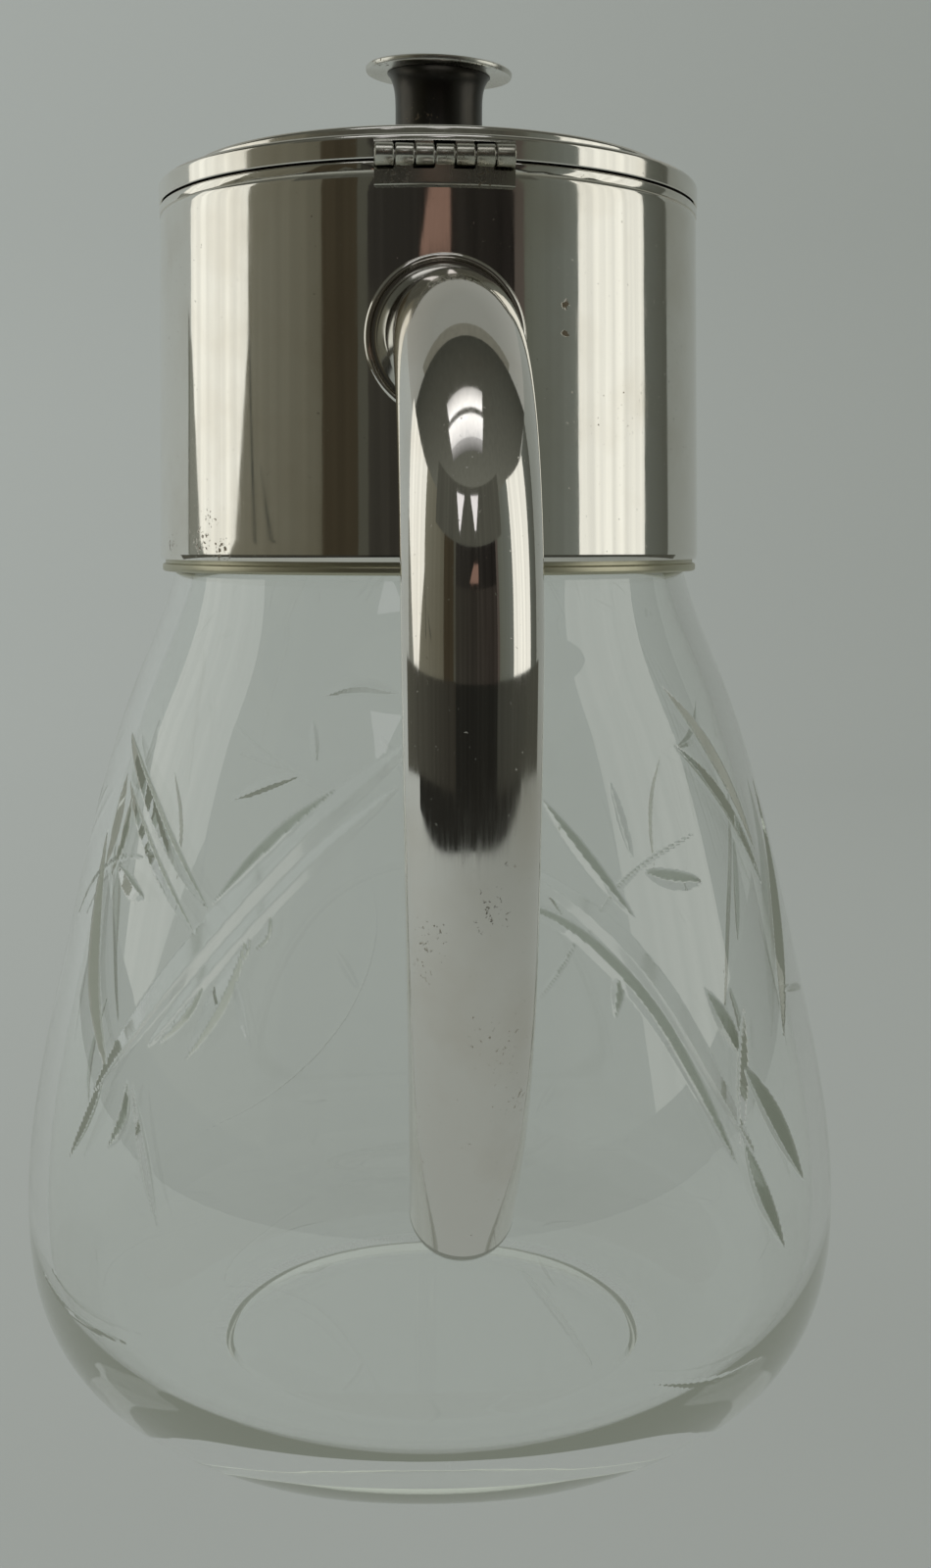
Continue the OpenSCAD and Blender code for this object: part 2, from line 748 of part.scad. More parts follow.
// Solid through rings of equally many points, closed at both ends
module skin(rings) {
    sides = len(rings[0]);
    last = len(rings) - 1;
    side_faces = [
        for (k = [0:last - 1], j = [0:sides - 1])
            let (a = k * sides + j, b = k * sides + (j + 1) % sides)
            each [[a, b, b + sides], [a, b + sides, a + sides]]
    ];
    polyhedron(
        points = [for (ring = rings) each ring],
        faces = concat(
            side_faces,
            [[for (j = [sides - 1:-1:0]) j]],
            [[for (j = [0:sides - 1]) last * sides + j]]
        )
    );
}

// Tube along the spine, its bore cut clear through both ends
module handle_tube() {
    outside = [for (k = [0:LAST]) tube_ring(k, 0, TUBE_SIDES)];
    bore = [for (k = [0:LAST]) tube_ring(k, tube_t, BORE_SIDES)];
    before = tube_ring(0, tube_t, BORE_SIDES, -CUT_OVER);
    beyond = tube_ring(LAST, tube_t, BORE_SIDES, CUT_OVER);
    color(SILVER)
    difference() {
        skin(outside);
        skin(concat([before], bore, [beyond]));
    }
}

// Moves a shape drawn upward from z = 0 to a point of the handle's plane, facing the given way
module place_on_spine(at, facing) {
    translate([0, -at[0], at[1]]) rotate([atan2(facing[0], facing[1]), 0, 0]) children();
}

module handle_end_cap() {
    CAP_STEPS = 10;
    CAP_FIT = 0.1;
    spigot_in_r = end_r - tube_t;
    cap_spigot_r = spigot_in_r * cos(180 / BORE_SIDES) - CAP_FIT;
    color(DARK_SILVER)
    place_on_spine(TUBE_END, end_dir)
    rotate_extrude()
    polygon(concat(
        [[0, -cap_spigot_h], [cap_spigot_r, -cap_spigot_h], [cap_spigot_r, 0]],
        [for (k = [0:CAP_STEPS])
            let (a = 90 * k / CAP_STEPS)
            [end_r * cos(a), cap_h * sin(a)]]
    ));
}

// Solid inside the collar's outer cone, grown by extra
module collar_cone(extra) {
    translate([0, 0, collar_z])
        cylinder(r1 = collar_r(collar_z) + extra, r2 = collar_r_top + extra, h = rim_z - collar_z);
}

// Upright cylinder laid along -Y at the height of the handle's root
module root_rod(d) {
    translate([0, 0, root_z]) rotate([90, 0, 0]) cylinder(d = d, h = BIG);
}

// Round plate with a boss, shaped to the collar
module handle_flange() {
    BOSS_SINK = 4;
    FOOT_W = 3.4;
    NECK_W = 1.6;
    TOP_W = 0.4;
    FOOT_STEP = 0.6;
    NECK_STEP = 0.5;
    collar_at_root = collar_r(root_z);
    plate_y = collar_at_root + flange_t;
    color(SILVER)
    difference() {
        union() {
            intersection() {
                root_rod(flange_d - 2 * wire_w);
                collar_cone(flange_t);
            }
            translate([0, 0, root_z])
            rotate([90, 0, 0])
            rotate_extrude()
            polygon([
                [0, collar_at_root - BOSS_SINK], [root_r + FOOT_W, collar_at_root - BOSS_SINK],
                [root_r + FOOT_W, plate_y - FOOT_STEP], [root_r + NECK_W, plate_y + NECK_STEP],
                [root_r + TOP_W, collar_at_root + boss_h], [0, collar_at_root + boss_h]
            ]);
        }
        collar_cone(0);
    }
}

// Raised wire round the plate
module handle_flange_wire() {
    color(SILVER)
    difference() {
        intersection() {
            root_rod(flange_d);
            collar_cone(wire_h);
        }
        root_rod(flange_d - 2 * wire_w);
        collar_cone(0);
    }
}

// Stiffening plate soldered inside the collar behind the handle
module handle_backing_plate() {
    SOLDER_GAP = 0.03;
    outer = -collar_t - SOLDER_GAP;
    color(DARK_SILVER)
    difference() {
        intersection() {
            root_rod(backing_d);
            collar_cone(outer);
        }
        collar_cone(outer - backing_t);
    }
}

glass_body();
plaster_ring();
collar_sleeve();
collar_rim();
collar_trim_ring();
glass_stop_ring();
pouring_lip();
strainer();
lid_cover();
lid_centring_ring();
knob_disc();
knob_neck();
knob_stud();
knob_washer();
knob_nut();
hinge_collar_leaf();
hinge_lid_leaf();
hinge_pin();
handle_flange();
handle_flange_wire();
handle_tube();
handle_end_cap();
handle_backing_plate();
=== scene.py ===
import math

import bmesh
import bpy
import numpy as np
from mathutils import Matrix, Vector


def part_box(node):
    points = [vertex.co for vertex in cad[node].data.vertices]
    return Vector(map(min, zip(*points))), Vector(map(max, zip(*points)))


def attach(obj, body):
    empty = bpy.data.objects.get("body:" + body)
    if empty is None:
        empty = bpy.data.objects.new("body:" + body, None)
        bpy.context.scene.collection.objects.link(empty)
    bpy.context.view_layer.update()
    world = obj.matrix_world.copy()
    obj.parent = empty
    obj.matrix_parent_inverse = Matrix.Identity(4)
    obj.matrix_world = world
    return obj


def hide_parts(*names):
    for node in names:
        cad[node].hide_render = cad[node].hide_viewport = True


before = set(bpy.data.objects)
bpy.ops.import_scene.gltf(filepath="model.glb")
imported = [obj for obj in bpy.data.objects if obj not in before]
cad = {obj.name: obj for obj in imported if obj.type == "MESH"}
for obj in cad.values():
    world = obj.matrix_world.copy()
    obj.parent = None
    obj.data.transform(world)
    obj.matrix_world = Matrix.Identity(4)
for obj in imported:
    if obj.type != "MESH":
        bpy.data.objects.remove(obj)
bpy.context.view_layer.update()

# ------------------------------------------------------------------ camera and room
# The jug stands on a sheet of grey paper that curves up behind it, under plain soft light.
# Its metal mirrors the room behind the viewer, so that room is hung up as plain screens
# that only mirrors show: two windows, dull walls and a dark ceiling with a lamp.
MM = 0.001
EYE = Vector((-17.3, -328.3, 163.7)) * MM
EYE_DOWN = 8.28
EYE_TURN = -4.2

camera = bpy.data.objects.new("camera", bpy.data.cameras.new("camera"))
bpy.context.scene.collection.objects.link(camera)
camera.location = EYE
camera.rotation_euler = (math.radians(90 - EYE_DOWN), 0, math.radians(EYE_TURN))
camera.data.sensor_width = 36
camera.data.lens = 39.34
camera.data.clip_start = 0.01
bpy.context.scene.camera = camera
bpy.context.scene.view_settings.view_transform = "Standard"


def new_piece(name, verts, faces, smooth_below=40):
    """An object of these points, in metres, smooth where its faces meet below that angle."""
    mesh = bpy.data.meshes.new(name)
    mesh.from_pydata([tuple(v) for v in verts], [], [tuple(f) for f in faces])
    mesh.validate()
    mesh.shade_smooth()
    mesh.set_sharp_from_angle(angle=math.radians(smooth_below))
    piece = bpy.data.objects.new(name, mesh)
    bpy.context.scene.collection.objects.link(piece)
    return piece


def face_outward(piece):
    """Turns every face of a closed piece to look out of it."""
    work = bmesh.new()
    work.from_mesh(piece.data)
    bmesh.ops.recalc_face_normals(work, faces=work.faces)
    work.to_mesh(piece.data)
    work.free()


def rounded(corners, closed=True, steps=6):
    """An outline's corners (x, y, radius), each with an arc of its radius in its place."""
    points = []
    for k, (x, y, radius) in enumerate(corners):
        at = Vector((x, y))
        if radius == 0 or (not closed and k in (0, len(corners) - 1)):
            points.append((x, y))
            continue
        back = (Vector(corners[k - 1][:2]) - at).normalized()
        ahead = (Vector(corners[(k + 1) % len(corners)][:2]) - at).normalized()
        half = back.angle(ahead) / 2
        centre = at + (back + ahead).normalized() * radius / math.sin(half)
        first = at + back * radius / math.tan(half) - centre
        last = at + ahead * radius / math.tan(half) - centre
        turn = math.pi - 2 * half
        for step in range(steps + 1):
            share = step / steps
            arm = (first * math.sin((1 - share) * turn) + last * math.sin(share * turn)) / math.sin(turn)
            points.append(tuple(centre + arm))
    return points


def turned(name, outline, sides, closed=True):
    """An outline of (radius, height) points in mm, turned about Z. Radius 0 is one point."""
    verts = []
    rows = []
    for r, z in outline:
        count = sides if r > 1e-6 else 1
        rows.append([len(verts) + k % count for k in range(sides)])
        for k in range(count):
            turn = 2 * math.pi * k / sides
            verts.append((r * math.cos(turn) * MM, r * math.sin(turn) * MM, z * MM))
    faces = []
    pairs = list(zip(rows, rows[1:] + rows[:1])) if closed else list(zip(rows, rows[1:]))
    for low, high in pairs:
        for k in range(sides):
            ring = [low[k], low[(k + 1) % sides], high[(k + 1) % sides], high[k]]
            face = list(dict.fromkeys(ring))
            if len(face) > 2:
                faces.append(face)
    piece = new_piece(name, verts, faces)
    face_outward(piece)
    return piece


def new_material(name, colour, roughness, metallic=0.0):
    """A material of these constants, with its node tree and its Principled shader."""
    material = bpy.data.materials.new(name)
    material.use_nodes = True
    tree = material.node_tree
    shader = tree.nodes["Principled BSDF"]
    shader.inputs["Base Color"].default_value = (*colour, 1)
    shader.inputs["Roughness"].default_value = roughness
    shader.inputs["Metallic"].default_value = metallic
    return material, tree, shader


def give(tree, node, inputs):
    """Links each of these inputs of a node to an output, or sets it to a value."""
    for socket, value in inputs.items():
        if isinstance(value, bpy.types.NodeSocket):
            tree.links.new(value, node.inputs[socket])
        else:
            node.inputs[socket].default_value = value


def add_node(tree, kind, inputs=None, **settings):
    """A shader node of this kind with these inputs and settings."""
    node = tree.nodes.new("ShaderNode" + kind)
    for key, value in settings.items():
        setattr(node, key, value)
    give(tree, node, inputs or {})
    return node


def combine(tree, operation, *values):
    """The output of a Math node with these values."""
    return add_node(tree, "Math", dict(enumerate(values)), operation=operation).outputs["Value"]


def blend(tree, share, a, b):
    """The output of a colour mix of a and b, each an output or a colour."""
    a, b = (value if isinstance(value, bpy.types.NodeSocket) else (*value, 1) for value in (a, b))
    return add_node(tree, "Mix", {"Factor": share, "A": a, "B": b}, data_type="RGBA").outputs["Result"]


def ramp(tree, value, low, high, to_low, to_high):
    """The output of a Map Range node from low..high to to_low..to_high."""
    inputs = {"Value": value, "From Min": low, "From Max": high, "To Min": to_low, "To Max": to_high}
    return add_node(tree, "MapRange", inputs).outputs["Result"]


def noise(tree, place, scale, detail):
    """The output of a noise texture at that place."""
    inputs = {"Vector": place, "Scale": scale, "Detail": detail}
    return add_node(tree, "TexNoise", inputs).outputs["Fac"]


def seen_share(tree):
    """1 for what the eye, a mirror or glass sees, and 0 for light that falls on other things."""
    rays = add_node(tree, "LightPath").outputs
    seen = combine(tree, "MAXIMUM", rays["Is Camera Ray"], rays["Is Glossy Ray"])
    return combine(tree, "MAXIMUM", seen, rays["Is Transmission Ray"])


# The eye, mirrors and glass see the sheet mostly as a painted glow: painted light left, painted shade right.
SHEET = [(0, 0, 0), (1000, 0, 300), (1250, 330, 300), (1250, 760, 0)]
PAPER = (0.50, 0.53, 0.505)
PAPER_PAINTED_LIT_LEFT = (0.405, 0.430, 0.410)
PAPER_PAINTED_SHADE_RIGHT = (0.215, 0.228, 0.205)
PAPER_TO_RIGHT = (0.55, -0.18, 0)
PAPER_PAINTED_GLOW_SHARE = 0.72
paper_sheet = turned("paper_sheet", rounded(SHEET, closed=False, steps=12), 96, closed=False)
paper, tree, shader = new_material("paper", PAPER, 0.9)
shader.inputs["Specular IOR Level"].default_value = 0.1
place = add_node(tree, "TexCoord").outputs["Object"]
to_right = {0: place, 1: PAPER_TO_RIGHT}
across = add_node(tree, "VectorMath", to_right, operation="DOT_PRODUCT").outputs["Value"]
# Painted light and shade: the glow runs from lit on the left to shaded on the right.
tone = blend(tree, ramp(tree, across, -0.5, 0.5, 0, 1), PAPER_PAINTED_LIT_LEFT, PAPER_PAINTED_SHADE_RIGHT)
# The sheet glows with this painted light for the eye, mirrors and glass.
even = add_node(tree, "Emission", {"Color": tone}).outputs["Emission"]
share = ramp(tree, seen_share(tree), 0, 1, 0, PAPER_PAINTED_GLOW_SHARE)
mixed = add_node(tree, "MixShader", {"Fac": share, 1: shader.outputs["BSDF"], 2: even}).outputs["Shader"]
give(tree, tree.nodes["Material Output"], {"Surface": mixed})
paper_sheet.data.materials.append(paper)


def mirrored_only(name, verts, across, colour, end_colour, streaks):
    """A glowing sheet that only mirrors show, between two rows of points. Its colour runs to
    the end colour as across goes from 0 to 1, with streaks that much darker."""
    count = len(verts) // 2
    faces = [(k, k + 1, k + count + 1, k + count) for k in range(count - 1)]
    piece = new_piece(name, [tuple(c * MM for c in v) for v in verts], faces)
    layer = piece.data.attributes.new("across", "FLOAT", "POINT")
    layer.data.foreach_set("value", across)
    glow = bpy.data.materials.new(name)
    glow.use_nodes = True
    tree = glow.node_tree
    tree.nodes.clear()
    share = add_node(tree, "Attribute", attribute_name="across").outputs["Fac"]
    tone = blend(tree, share, colour, end_colour or colour)
    place = add_node(tree, "TexCoord").outputs["Object"]
    drawn_out = add_node(tree, "Mapping", {"Vector": place, "Scale": (16, 16, 0.9)}).outputs["Vector"]
    level = ramp(tree, noise(tree, drawn_out, 1, 3), 0.35, 0.65, 1 - streaks, 1)
    light = add_node(tree, "Emission", {"Color": tone, "Strength": level}).outputs["Emission"]
    add_node(tree, "OutputMaterial", {"Surface": light})
    piece.data.materials.append(glow)
    piece.visible_camera = False
    piece.visible_diffuse = False
    piece.visible_transmission = False
    piece.visible_shadow = False


def screen(name, corners, away, colour, end_colour=None, streaks=0.0):
    """An upright screen round the jug. Its corners are (bearing, height) from the lower left
    round, and bearings are taken from the handle's side towards +X."""
    low_left, low_right, high_right, high_left = (np.array(corner) for corner in corners)
    columns = 24
    verts = []
    for left, right in ((low_left, low_right), (high_left, high_right)):
        for k in range(columns + 1):
            bearing, z = left + (right - left) * k / columns
            turn = math.radians(bearing)
            verts.append((away * math.sin(turn), -away * math.cos(turn), z))
    across = [k / columns for k in range(columns + 1)] * 2
    mirrored_only(name, verts, across, colour, end_colour, streaks)


def wall(name, left, right, low, high, away, colour, end_colour=None, streaks=0.0):
    """A screen between two bearings and two heights."""
    corners = [(left, low), (right, low), (right, high), (left, high)]
    screen(name, corners, away, colour, end_colour, streaks)


def hanging(name, rear, front, left, right, height, colour, end_colour=None, bow=0.0):
    """A level screen over the handle, from a rear edge to a front one, both y in mm. Its rear
    edge bows back by bow for each square millimetre from the middle."""
    columns = 32
    verts = []
    for edge, bend_back in ((rear, bow), (front, 0)):
        for k in range(columns + 1):
            x = left + (right - left) * k / columns
            verts.append((x, edge + bend_back * x * x, height))
    across = [0.0] * (columns + 1) + [1.0] * (columns + 1)
    mirrored_only(name, verts, across, colour, end_colour, 0.1)


WINDOW = (1.07, 1.07, 0.98)
OLIVE = (0.195, 0.192, 0.150)
DIM_OLIVE = (0.115, 0.110, 0.080)
BROWN = (0.049, 0.041, 0.026)
GLOOM = (0.044, 0.042, 0.034)
BLACK = (0.018, 0.016, 0.014)
NEAR_BLACK = (0.018, 0.018, 0.015)
CORD = (0.06, 0.062, 0.05)
STREAK = (0.90, 0.88, 0.89)
wall("window_left", -118, -80.5, 330, 720, 1000, WINDOW, None, 0.2)
screen("window_left_foot", [(-106, 90), (-93, 90), (-80.5, 330), (-118, 330)], 1000, WINDOW, None, 0.2)
wall("frame_left", -120.4, -119.3, 90, 340, 1000, (0.12, 0.125, 0.10))
screen("sill_left", [(-119.5, 60), (-95, 60), (-90, 330), (-119.5, 330)], 1045, (0.21, 0.22, 0.19))
screen("wall_left", [(-95, 0), (-45, 0), (-45, 760), (-81, 760)], 1050, OLIVE, DIM_OLIVE, 0.12)
screen("cord_left", [(-77.8, 172), (-76.2, 172), (-79.6, 345), (-80.4, 345)], 995, CORD)
screen("leaf_left", [(-68.4, 178), (-66.0, 178), (-73.9, 244), (-74.4, 244)], 995, CORD)
wall("shelf_left", -46, -31, 0, 760, 1000, BROWN, BROWN, 0.25)
wall("post_left", -31, -27, 0, 760, 1000, (0.068, 0.068, 0.053))
wall("front_low", -27, 31, -60, 95, 800, NEAR_BLACK, None, 0.3)
wall("front", -27, 31, 95, 340, 800, GLOOM, (0.040, 0.034, 0.029), 0.4)
wall("front_dark", -27, 31, 340, 480, 800, (0.034, 0.032, 0.027), BLACK, 0.4)
wall("front_high", -60, 42, 480, 760, 800, (0.085, 0.086, 0.070), None, 0.2)
screen("copper_pan", [(-7, 357), (5.2, 357), (5.2, 416), (-1.2, 416)], 795, (0.215, 0.135, 0.105))
screen("streak_left", [(-22, 528), (-20.5, 528), (-14, 700), (-26.7, 700)], 795, STREAK)
screen("streak_right", [(1.5, 540), (3.5, 540), (8.2, 706), (-4.5, 706)], 795, STREAK)
wall("curtain_right", 31, 35, 0, 760, 900, (0.080, 0.068, 0.058))
wall("wall_right", 34.5, 60, 0, 800, 1010, (0.105, 0.112, 0.090), (0.165, 0.180, 0.160), 0.1)
screen("window_right", [(59, 90), (95.3, 90), (95.3, 655), (59, 790)], 1000, WINDOW, None, 0.22)
wall("wall_far_right", 95.3, 112.8, 0, 660, 1000, (0.115, 0.125, 0.108), (0.08, 0.085, 0.07))
wall("dado_left", -128, -25, -4, 96, 845, (0.085, 0.085, 0.068), (0.030, 0.028, 0.022), 0.2)
wall("dado_right", 29, 120, -4, 96, 845, (0.045, 0.046, 0.038), (0.075, 0.077, 0.062), 0.2)
CEILING_Z = 1070
LAMP_Z = 1060
hanging("ceiling", 60, -1900, -1750, 1750, CEILING_Z, (0.045, 0.047, 0.038), (0.21, 0.215, 0.18), 0.0003)
hanging("cornice", 178, -100, -900, 900, CEILING_Z + 5, (0.17, 0.17, 0.14), None, 0.0003)
hanging("ceiling_lamp", -330, -470, -500, 275, LAMP_Z, (0.55, 0.55, 0.54), (1.6, 1.6, 1.6))
hanging("ceiling_lamp_near", -515, -690, -560, 300, LAMP_Z, (1.5, 1.5, 1.5), (0.85, 0.85, 0.85))
hanging("ceiling_lamp_edge", -690, -800, -560, 300, LAMP_Z, (0.5, 0.5, 0.5), (0.15, 0.15, 0.14))

# The table in front of the paper is bare and dark: the paper's edge is mirrored low in the
# handle. That edge bows away from the jug towards both sides.
TABLE_STEPS = 40
TABLE_Y = -110
PAPER_REACH = 573
TABLE_END = 1000
table_bearings = [-100 + 182 * k / TABLE_STEPS for k in range(TABLE_STEPS + 1)]
table_reaches = [PAPER_REACH + 150 * ((bearing + 12) / 87) ** 4 for bearing in table_bearings]
table_reaches += [TABLE_END] * (TABLE_STEPS + 1)
table_points = [
    (reach * math.sin(math.radians(bearing)), TABLE_Y - reach * math.cos(math.radians(bearing)), 1)
    for reach, bearing in zip(table_reaches, table_bearings * 2)
]
mirrored_only("bare_table", table_points, [0.0] * len(table_points), NEAR_BLACK, None, 0.1)

# The world lights the jug with one plain grey. The eye, mirrors and glass see a dimmer one.
SKY_LIGHT = (0.66, 0.67, 0.65)
SKY_LOW = (0.37, 0.38, 0.35)
SKY_HIGH = (0.25, 0.26, 0.235)
sky = bpy.data.worlds.new("sky")
sky.use_nodes = True
bpy.context.scene.world = sky
tree = sky.node_tree
way = add_node(tree, "TexCoord").outputs["Generated"]
height = add_node(tree, "SeparateXYZ", {"Vector": way}).outputs["Z"]
shown = blend(tree, ramp(tree, height, 0.2, 0.8, 0, 1), SKY_LOW, SKY_HIGH)
give(tree, tree.nodes["Background"], {"Color": blend(tree, seen_share(tree), SKY_LIGHT, shown)})

lamp = bpy.data.objects.new("lamp", bpy.data.lights.new("lamp", "AREA"))
bpy.context.scene.collection.objects.link(lamp)
lamp.location = (-1.0, 0.25, 1.0)
lamp.rotation_euler = (Vector((0, 0.3, 0.1)) - lamp.location).to_track_quat("-Z", "Y").to_euler()
lamp.data.shape = "SQUARE"
lamp.data.size = 1.0
lamp.data.energy = 7
lamp.visible_camera = False
lamp.visible_glossy = False
lamp.visible_transmission = False

# ------------------------------------------------------------------ glass body
# Thick clear glass, blown wide and low, with a flat ring ground round a shallow hollow
# under its foot. Sprays of leaves and stems are cut into its outside with a mitred wheel:
# each cut is a shallow V, one flank polished and the other a little rough and darkened with painted shade.
NECK = (46.6, 166.0)
SHOULDER = (57.6, 131.5)
FLANK = (69.6, 88.0)
BELLY = (78.4, 36.0)
GLASS_TOP = 178.0
RUNS = [(NECK, SHOULDER, 0, 0.36), (SHOULDER, FLANK, 0.36, 0.235), (FLANK, BELLY, 0.235, 0)]
FOOT_R = 46.5
RING_IN_R = 41.5
KICK = 1.2
FLOOR_R = 44.0
FLOOR_Z = 7.0
WALL = 3.6
FULLNESS = 2 / 2.4


def wall_line(inset):
    """Radius and height of the glass wall from its lip down to the belly, in fine steps."""
    line = [(NECK[0] - inset, GLASS_TOP)]
    for top, low, lean_top, lean_low in RUNS:
        drop = top[1] - low[1]
        for step in range(40):
            t = step / 40
            r = top[0] * (1 - 3 * t**2 + 2 * t**3) + low[0] * (3 * t**2 - 2 * t**3)
            r += drop * (lean_top * (t - 2 * t**2 + t**3) + lean_low * (t**3 - t**2))
            line.append((r - inset, top[1] - drop * t))
    return line


def corner_line(r0, z0, r1, z1):
    """The full corner of the glass from (r0, z0) down and in to (r1, z1)."""
    line = []
    for step in range(61):
        turn = math.pi / 2 * step / 60
        out = max(math.cos(turn), 0) ** FULLNESS
        line.append((r1 + (r0 - r1) * out, z0 + (z1 - z0) * math.sin(turn) ** FULLNESS))
    return line


def ways_along(points):
    """How far along a line each of its points is."""
    return np.concatenate([[0], np.cumsum(np.hypot(*np.diff(points, axis=0).T))])


def spaced(points, count):
    """The same line drawn by that many evenly spaced points."""
    along = ways_along(points)
    at = np.linspace(0, along[-1], count)
    return np.column_stack([np.interp(at, along, points[:, k]) for k in (0, 1)])


def even_line(line, step):
    """The same line with its points evenly spaced, about step apart."""
    points = np.array(line)
    return spaced(points, max(2, round(ways_along(points)[-1] / step)) + 1)


RUN_LENGTH = 0.1
OUTSIDE = even_line(wall_line(0) + corner_line(*BELLY, FOOT_R, 0), RUN_LENGTH)


def wheel_path(points):
    """A smooth path through a cut's (bearing, height) points, as (bearing, way down the wall)."""
    path = np.array(points, float)
    for _ in range(3):
        cut = np.empty((2 * len(path) - 2, 2))
        cut[0::2] = path[:-1] * 0.75 + path[1:] * 0.25
        cut[1::2] = path[:-1] * 0.25 + path[1:] * 0.75
        path = np.vstack([path[:1], cut, path[-1:]])
    heights = OUTSIDE[::-1, 1]
    ways = np.arange(len(OUTSIDE))[::-1] * RUN_LENGTH
    return np.column_stack([np.radians(path[:, 0]), np.interp(path[:, 1], heights, ways)])


# Each cut: its width in mm, which flank is darkened with painted shade (1 is the right of its way,
# -1 the left, and 0 neither, with the whole cut matt), how pointed its ends are (1 is sharp and
# 0 square), and its path from end to end.
LEFT_SPRAY = [
    (3.6, 1, 0.6, [(-68, 129), (-60, 124), (-52, 118), (-36, 103)]),
    (2.8, 1, 0.6, [(-62, 121), (-54, 114), (-38, 99)]),
    (4.8, -1, 0.9, [(-67, 112), (-64, 98), (-60, 86), (-51, 73)]),
    (3.4, 1, 0.8, [(-64, 122), (-63, 113), (-64, 106)]),
    (2.4, -1, 0.8, [(-60, 119), (-59, 112), (-61, 105)]),
    (3.6, 1, 0.6, [(-59, 107), (-54, 104), (-50, 103)]),
    (1.0, 1, 0.5, [(-74, 95), (-69, 103), (-59, 109), (-48, 110)]),
    (3.2, -1, 0.8, [(-17, 124), (-26, 116), (-36, 104)]),
    (6.0, 0, 0.5, [(-6, 131), (-22, 117), (-36, 99), (-49, 80), (-54, 70)]),
    (4.0, 0, 0.5, [(-8, 124), (-20, 113), (-33, 97), (-44, 80)]),
    (4.2, 1, 0.9, [(-29, 101), (-32, 91), (-37, 79)]),
    (3.4, 1, 0.9, [(-35, 93), (-38, 87), (-42, 81)]),
    (2.0, 0, 0.9, [(-31, 95), (-29, 88), (-27, 83)]),
    (2.6, 1, 0.9, [(-52, 75), (-54, 66), (-58, 57)]),
    (3.0, -1, 0.9, [(-47, 74), (-46, 68), (-49, 62)]),
    (2.6, 0, 0.9, [(-46, 74), (-42, 64), (-38, 52)]),
    (1.6, 1, 0.5, [(-26, 104), (-26, 100), (-28, 98)]),
    (1.4, 1, 0.5, [(-29, 101), (-29, 97), (-31, 95)]),
]
RIGHT_SPRAY = [
    (2.8, 1, 0.7, [(14, 122), (19, 114), (27, 102)]),
    (3.4, -1, 0.8, [(43, 138), (50, 130), (57, 118), (60, 108)]),
    (3.0, -1, 0.8, [(41, 129), (49, 122), (56, 112), (60, 102)]),
    (6.0, -1, 0.9, [(72, 120), (71, 108), (63, 92), (56, 76)]),
    (1.0, 1, 0.5, [(18, 99), (24, 107), (31, 111), (42, 114)]),
    (3.6, 1, 0.5, [(30, 109), (35, 107), (41, 106)]),
    (4.6, 0, 0.5, [(8, 113), (20, 104), (30, 91), (37, 75), (43, 60)]),
    (3.6, 1, 0.5, [(8, 107), (18, 101), (28, 88), (34, 74), (39, 60)]),
    (4.0, 1, 0.9, [(38, 89), (41, 83), (44, 75)]),
    (2.6, 1, 0.8, [(24, 96), (23, 92), (22, 87)]),
    (1.0, 1, 0.5, [(18, 101), (15, 96), (11, 91)]),
    (1.8, 0, 0.8, [(26, 124), (27, 118), (28, 111)]),
    (5.4, 1, 0.9, [(43, 76), (48, 66), (55, 51)]),
    (4.4, 1, 0.9, [(41, 64), (43, 54), (48, 42)]),
    (3.4, 0, 0.9, [(46, 84), (43, 74), (40, 62)]),
    (1.4, 1, 0.5, [(60, 83), (66, 82), (72, 80)]),
]
FAR_SPRAY = [
    (1.0, 0, 0.5, [(-135, 124), (-148, 114), (-162, 104)]),
    (1.0, 0, 0.5, [(-138, 117), (-150, 112)]),
    (2.6, 0, 0.9, [(-156, 123), (-158, 112)]),
    (3.4, 0, 0.8, [(-138, 106), (-148, 109), (-155, 110)]),
    (4.0, 0, 0.8, [(-158, 128), (-166, 131), (-176, 128)]),
    (1.2, 0, 0.5, [(-168, 93), (-173, 76), (-171, 58), (-164, 42), (-152, 30), (-136, 26)]),
    (2.8, 0, 0.9, [(-164, 68), (-170, 54)]),
    (3.0, 0, 0.8, [(-157, 29), (-164, 28)]),
    (3.0, 0, 0.9, [(153, 34), (157, 24)]),
    (3.6, 0, 0.9, [(153, 20), (161, 12)]),
    (5.0, 0, 0.5, [(188, 118), (178, 104), (168, 88), (160, 70)]),
    (3.4, 1, 0.9, [(176, 112), (166, 110), (158, 104)]),
    (3.0, -1, 0.9, [(172, 92), (176, 82), (178, 70)]),
    (2.8, 1, 0.9, [(162, 90), (154, 84), (150, 74)]),
    (2.6, 1, 0.9, [(168, 128), (162, 134)]),
]
SIDE_LEAVES = [
    (4.0, 1, 0.9, [(-96, 108), (-101, 96), (-108, 80)]),
    (3.4, -1, 0.9, [(-90, 92), (-88, 80), (-92, 66)]),
    (3.0, 1, 0.9, [(-84, 128), (-92, 120), (-104, 114)]),
    (4.2, 0, 0.5, [(-80, 118), (-92, 104), (-104, 86), (-114, 62)]),
    (3.0, 1, 0.9, [(-108, 70), (-104, 58), (-106, 46)]),
    (2.8, -1, 0.9, [(-118, 116), (-124, 104), (-126, 90)]),
    (4.0, -1, 0.9, [(92, 110), (98, 98), (104, 80)]),
    (4.2, 0, 0.5, [(84, 122), (95, 106), (106, 84), (114, 60)]),
    (3.4, 1, 0.9, [(88, 90), (84, 78), (86, 64)]),
    (3.0, -1, 0.9, [(112, 72), (108, 58), (110, 44)]),
    (2.8, 1, 0.9, [(120, 118), (126, 106), (128, 90)]),
    (3.0, 1, 0.9, [(96, 132), (104, 124), (114, 120)]),
]
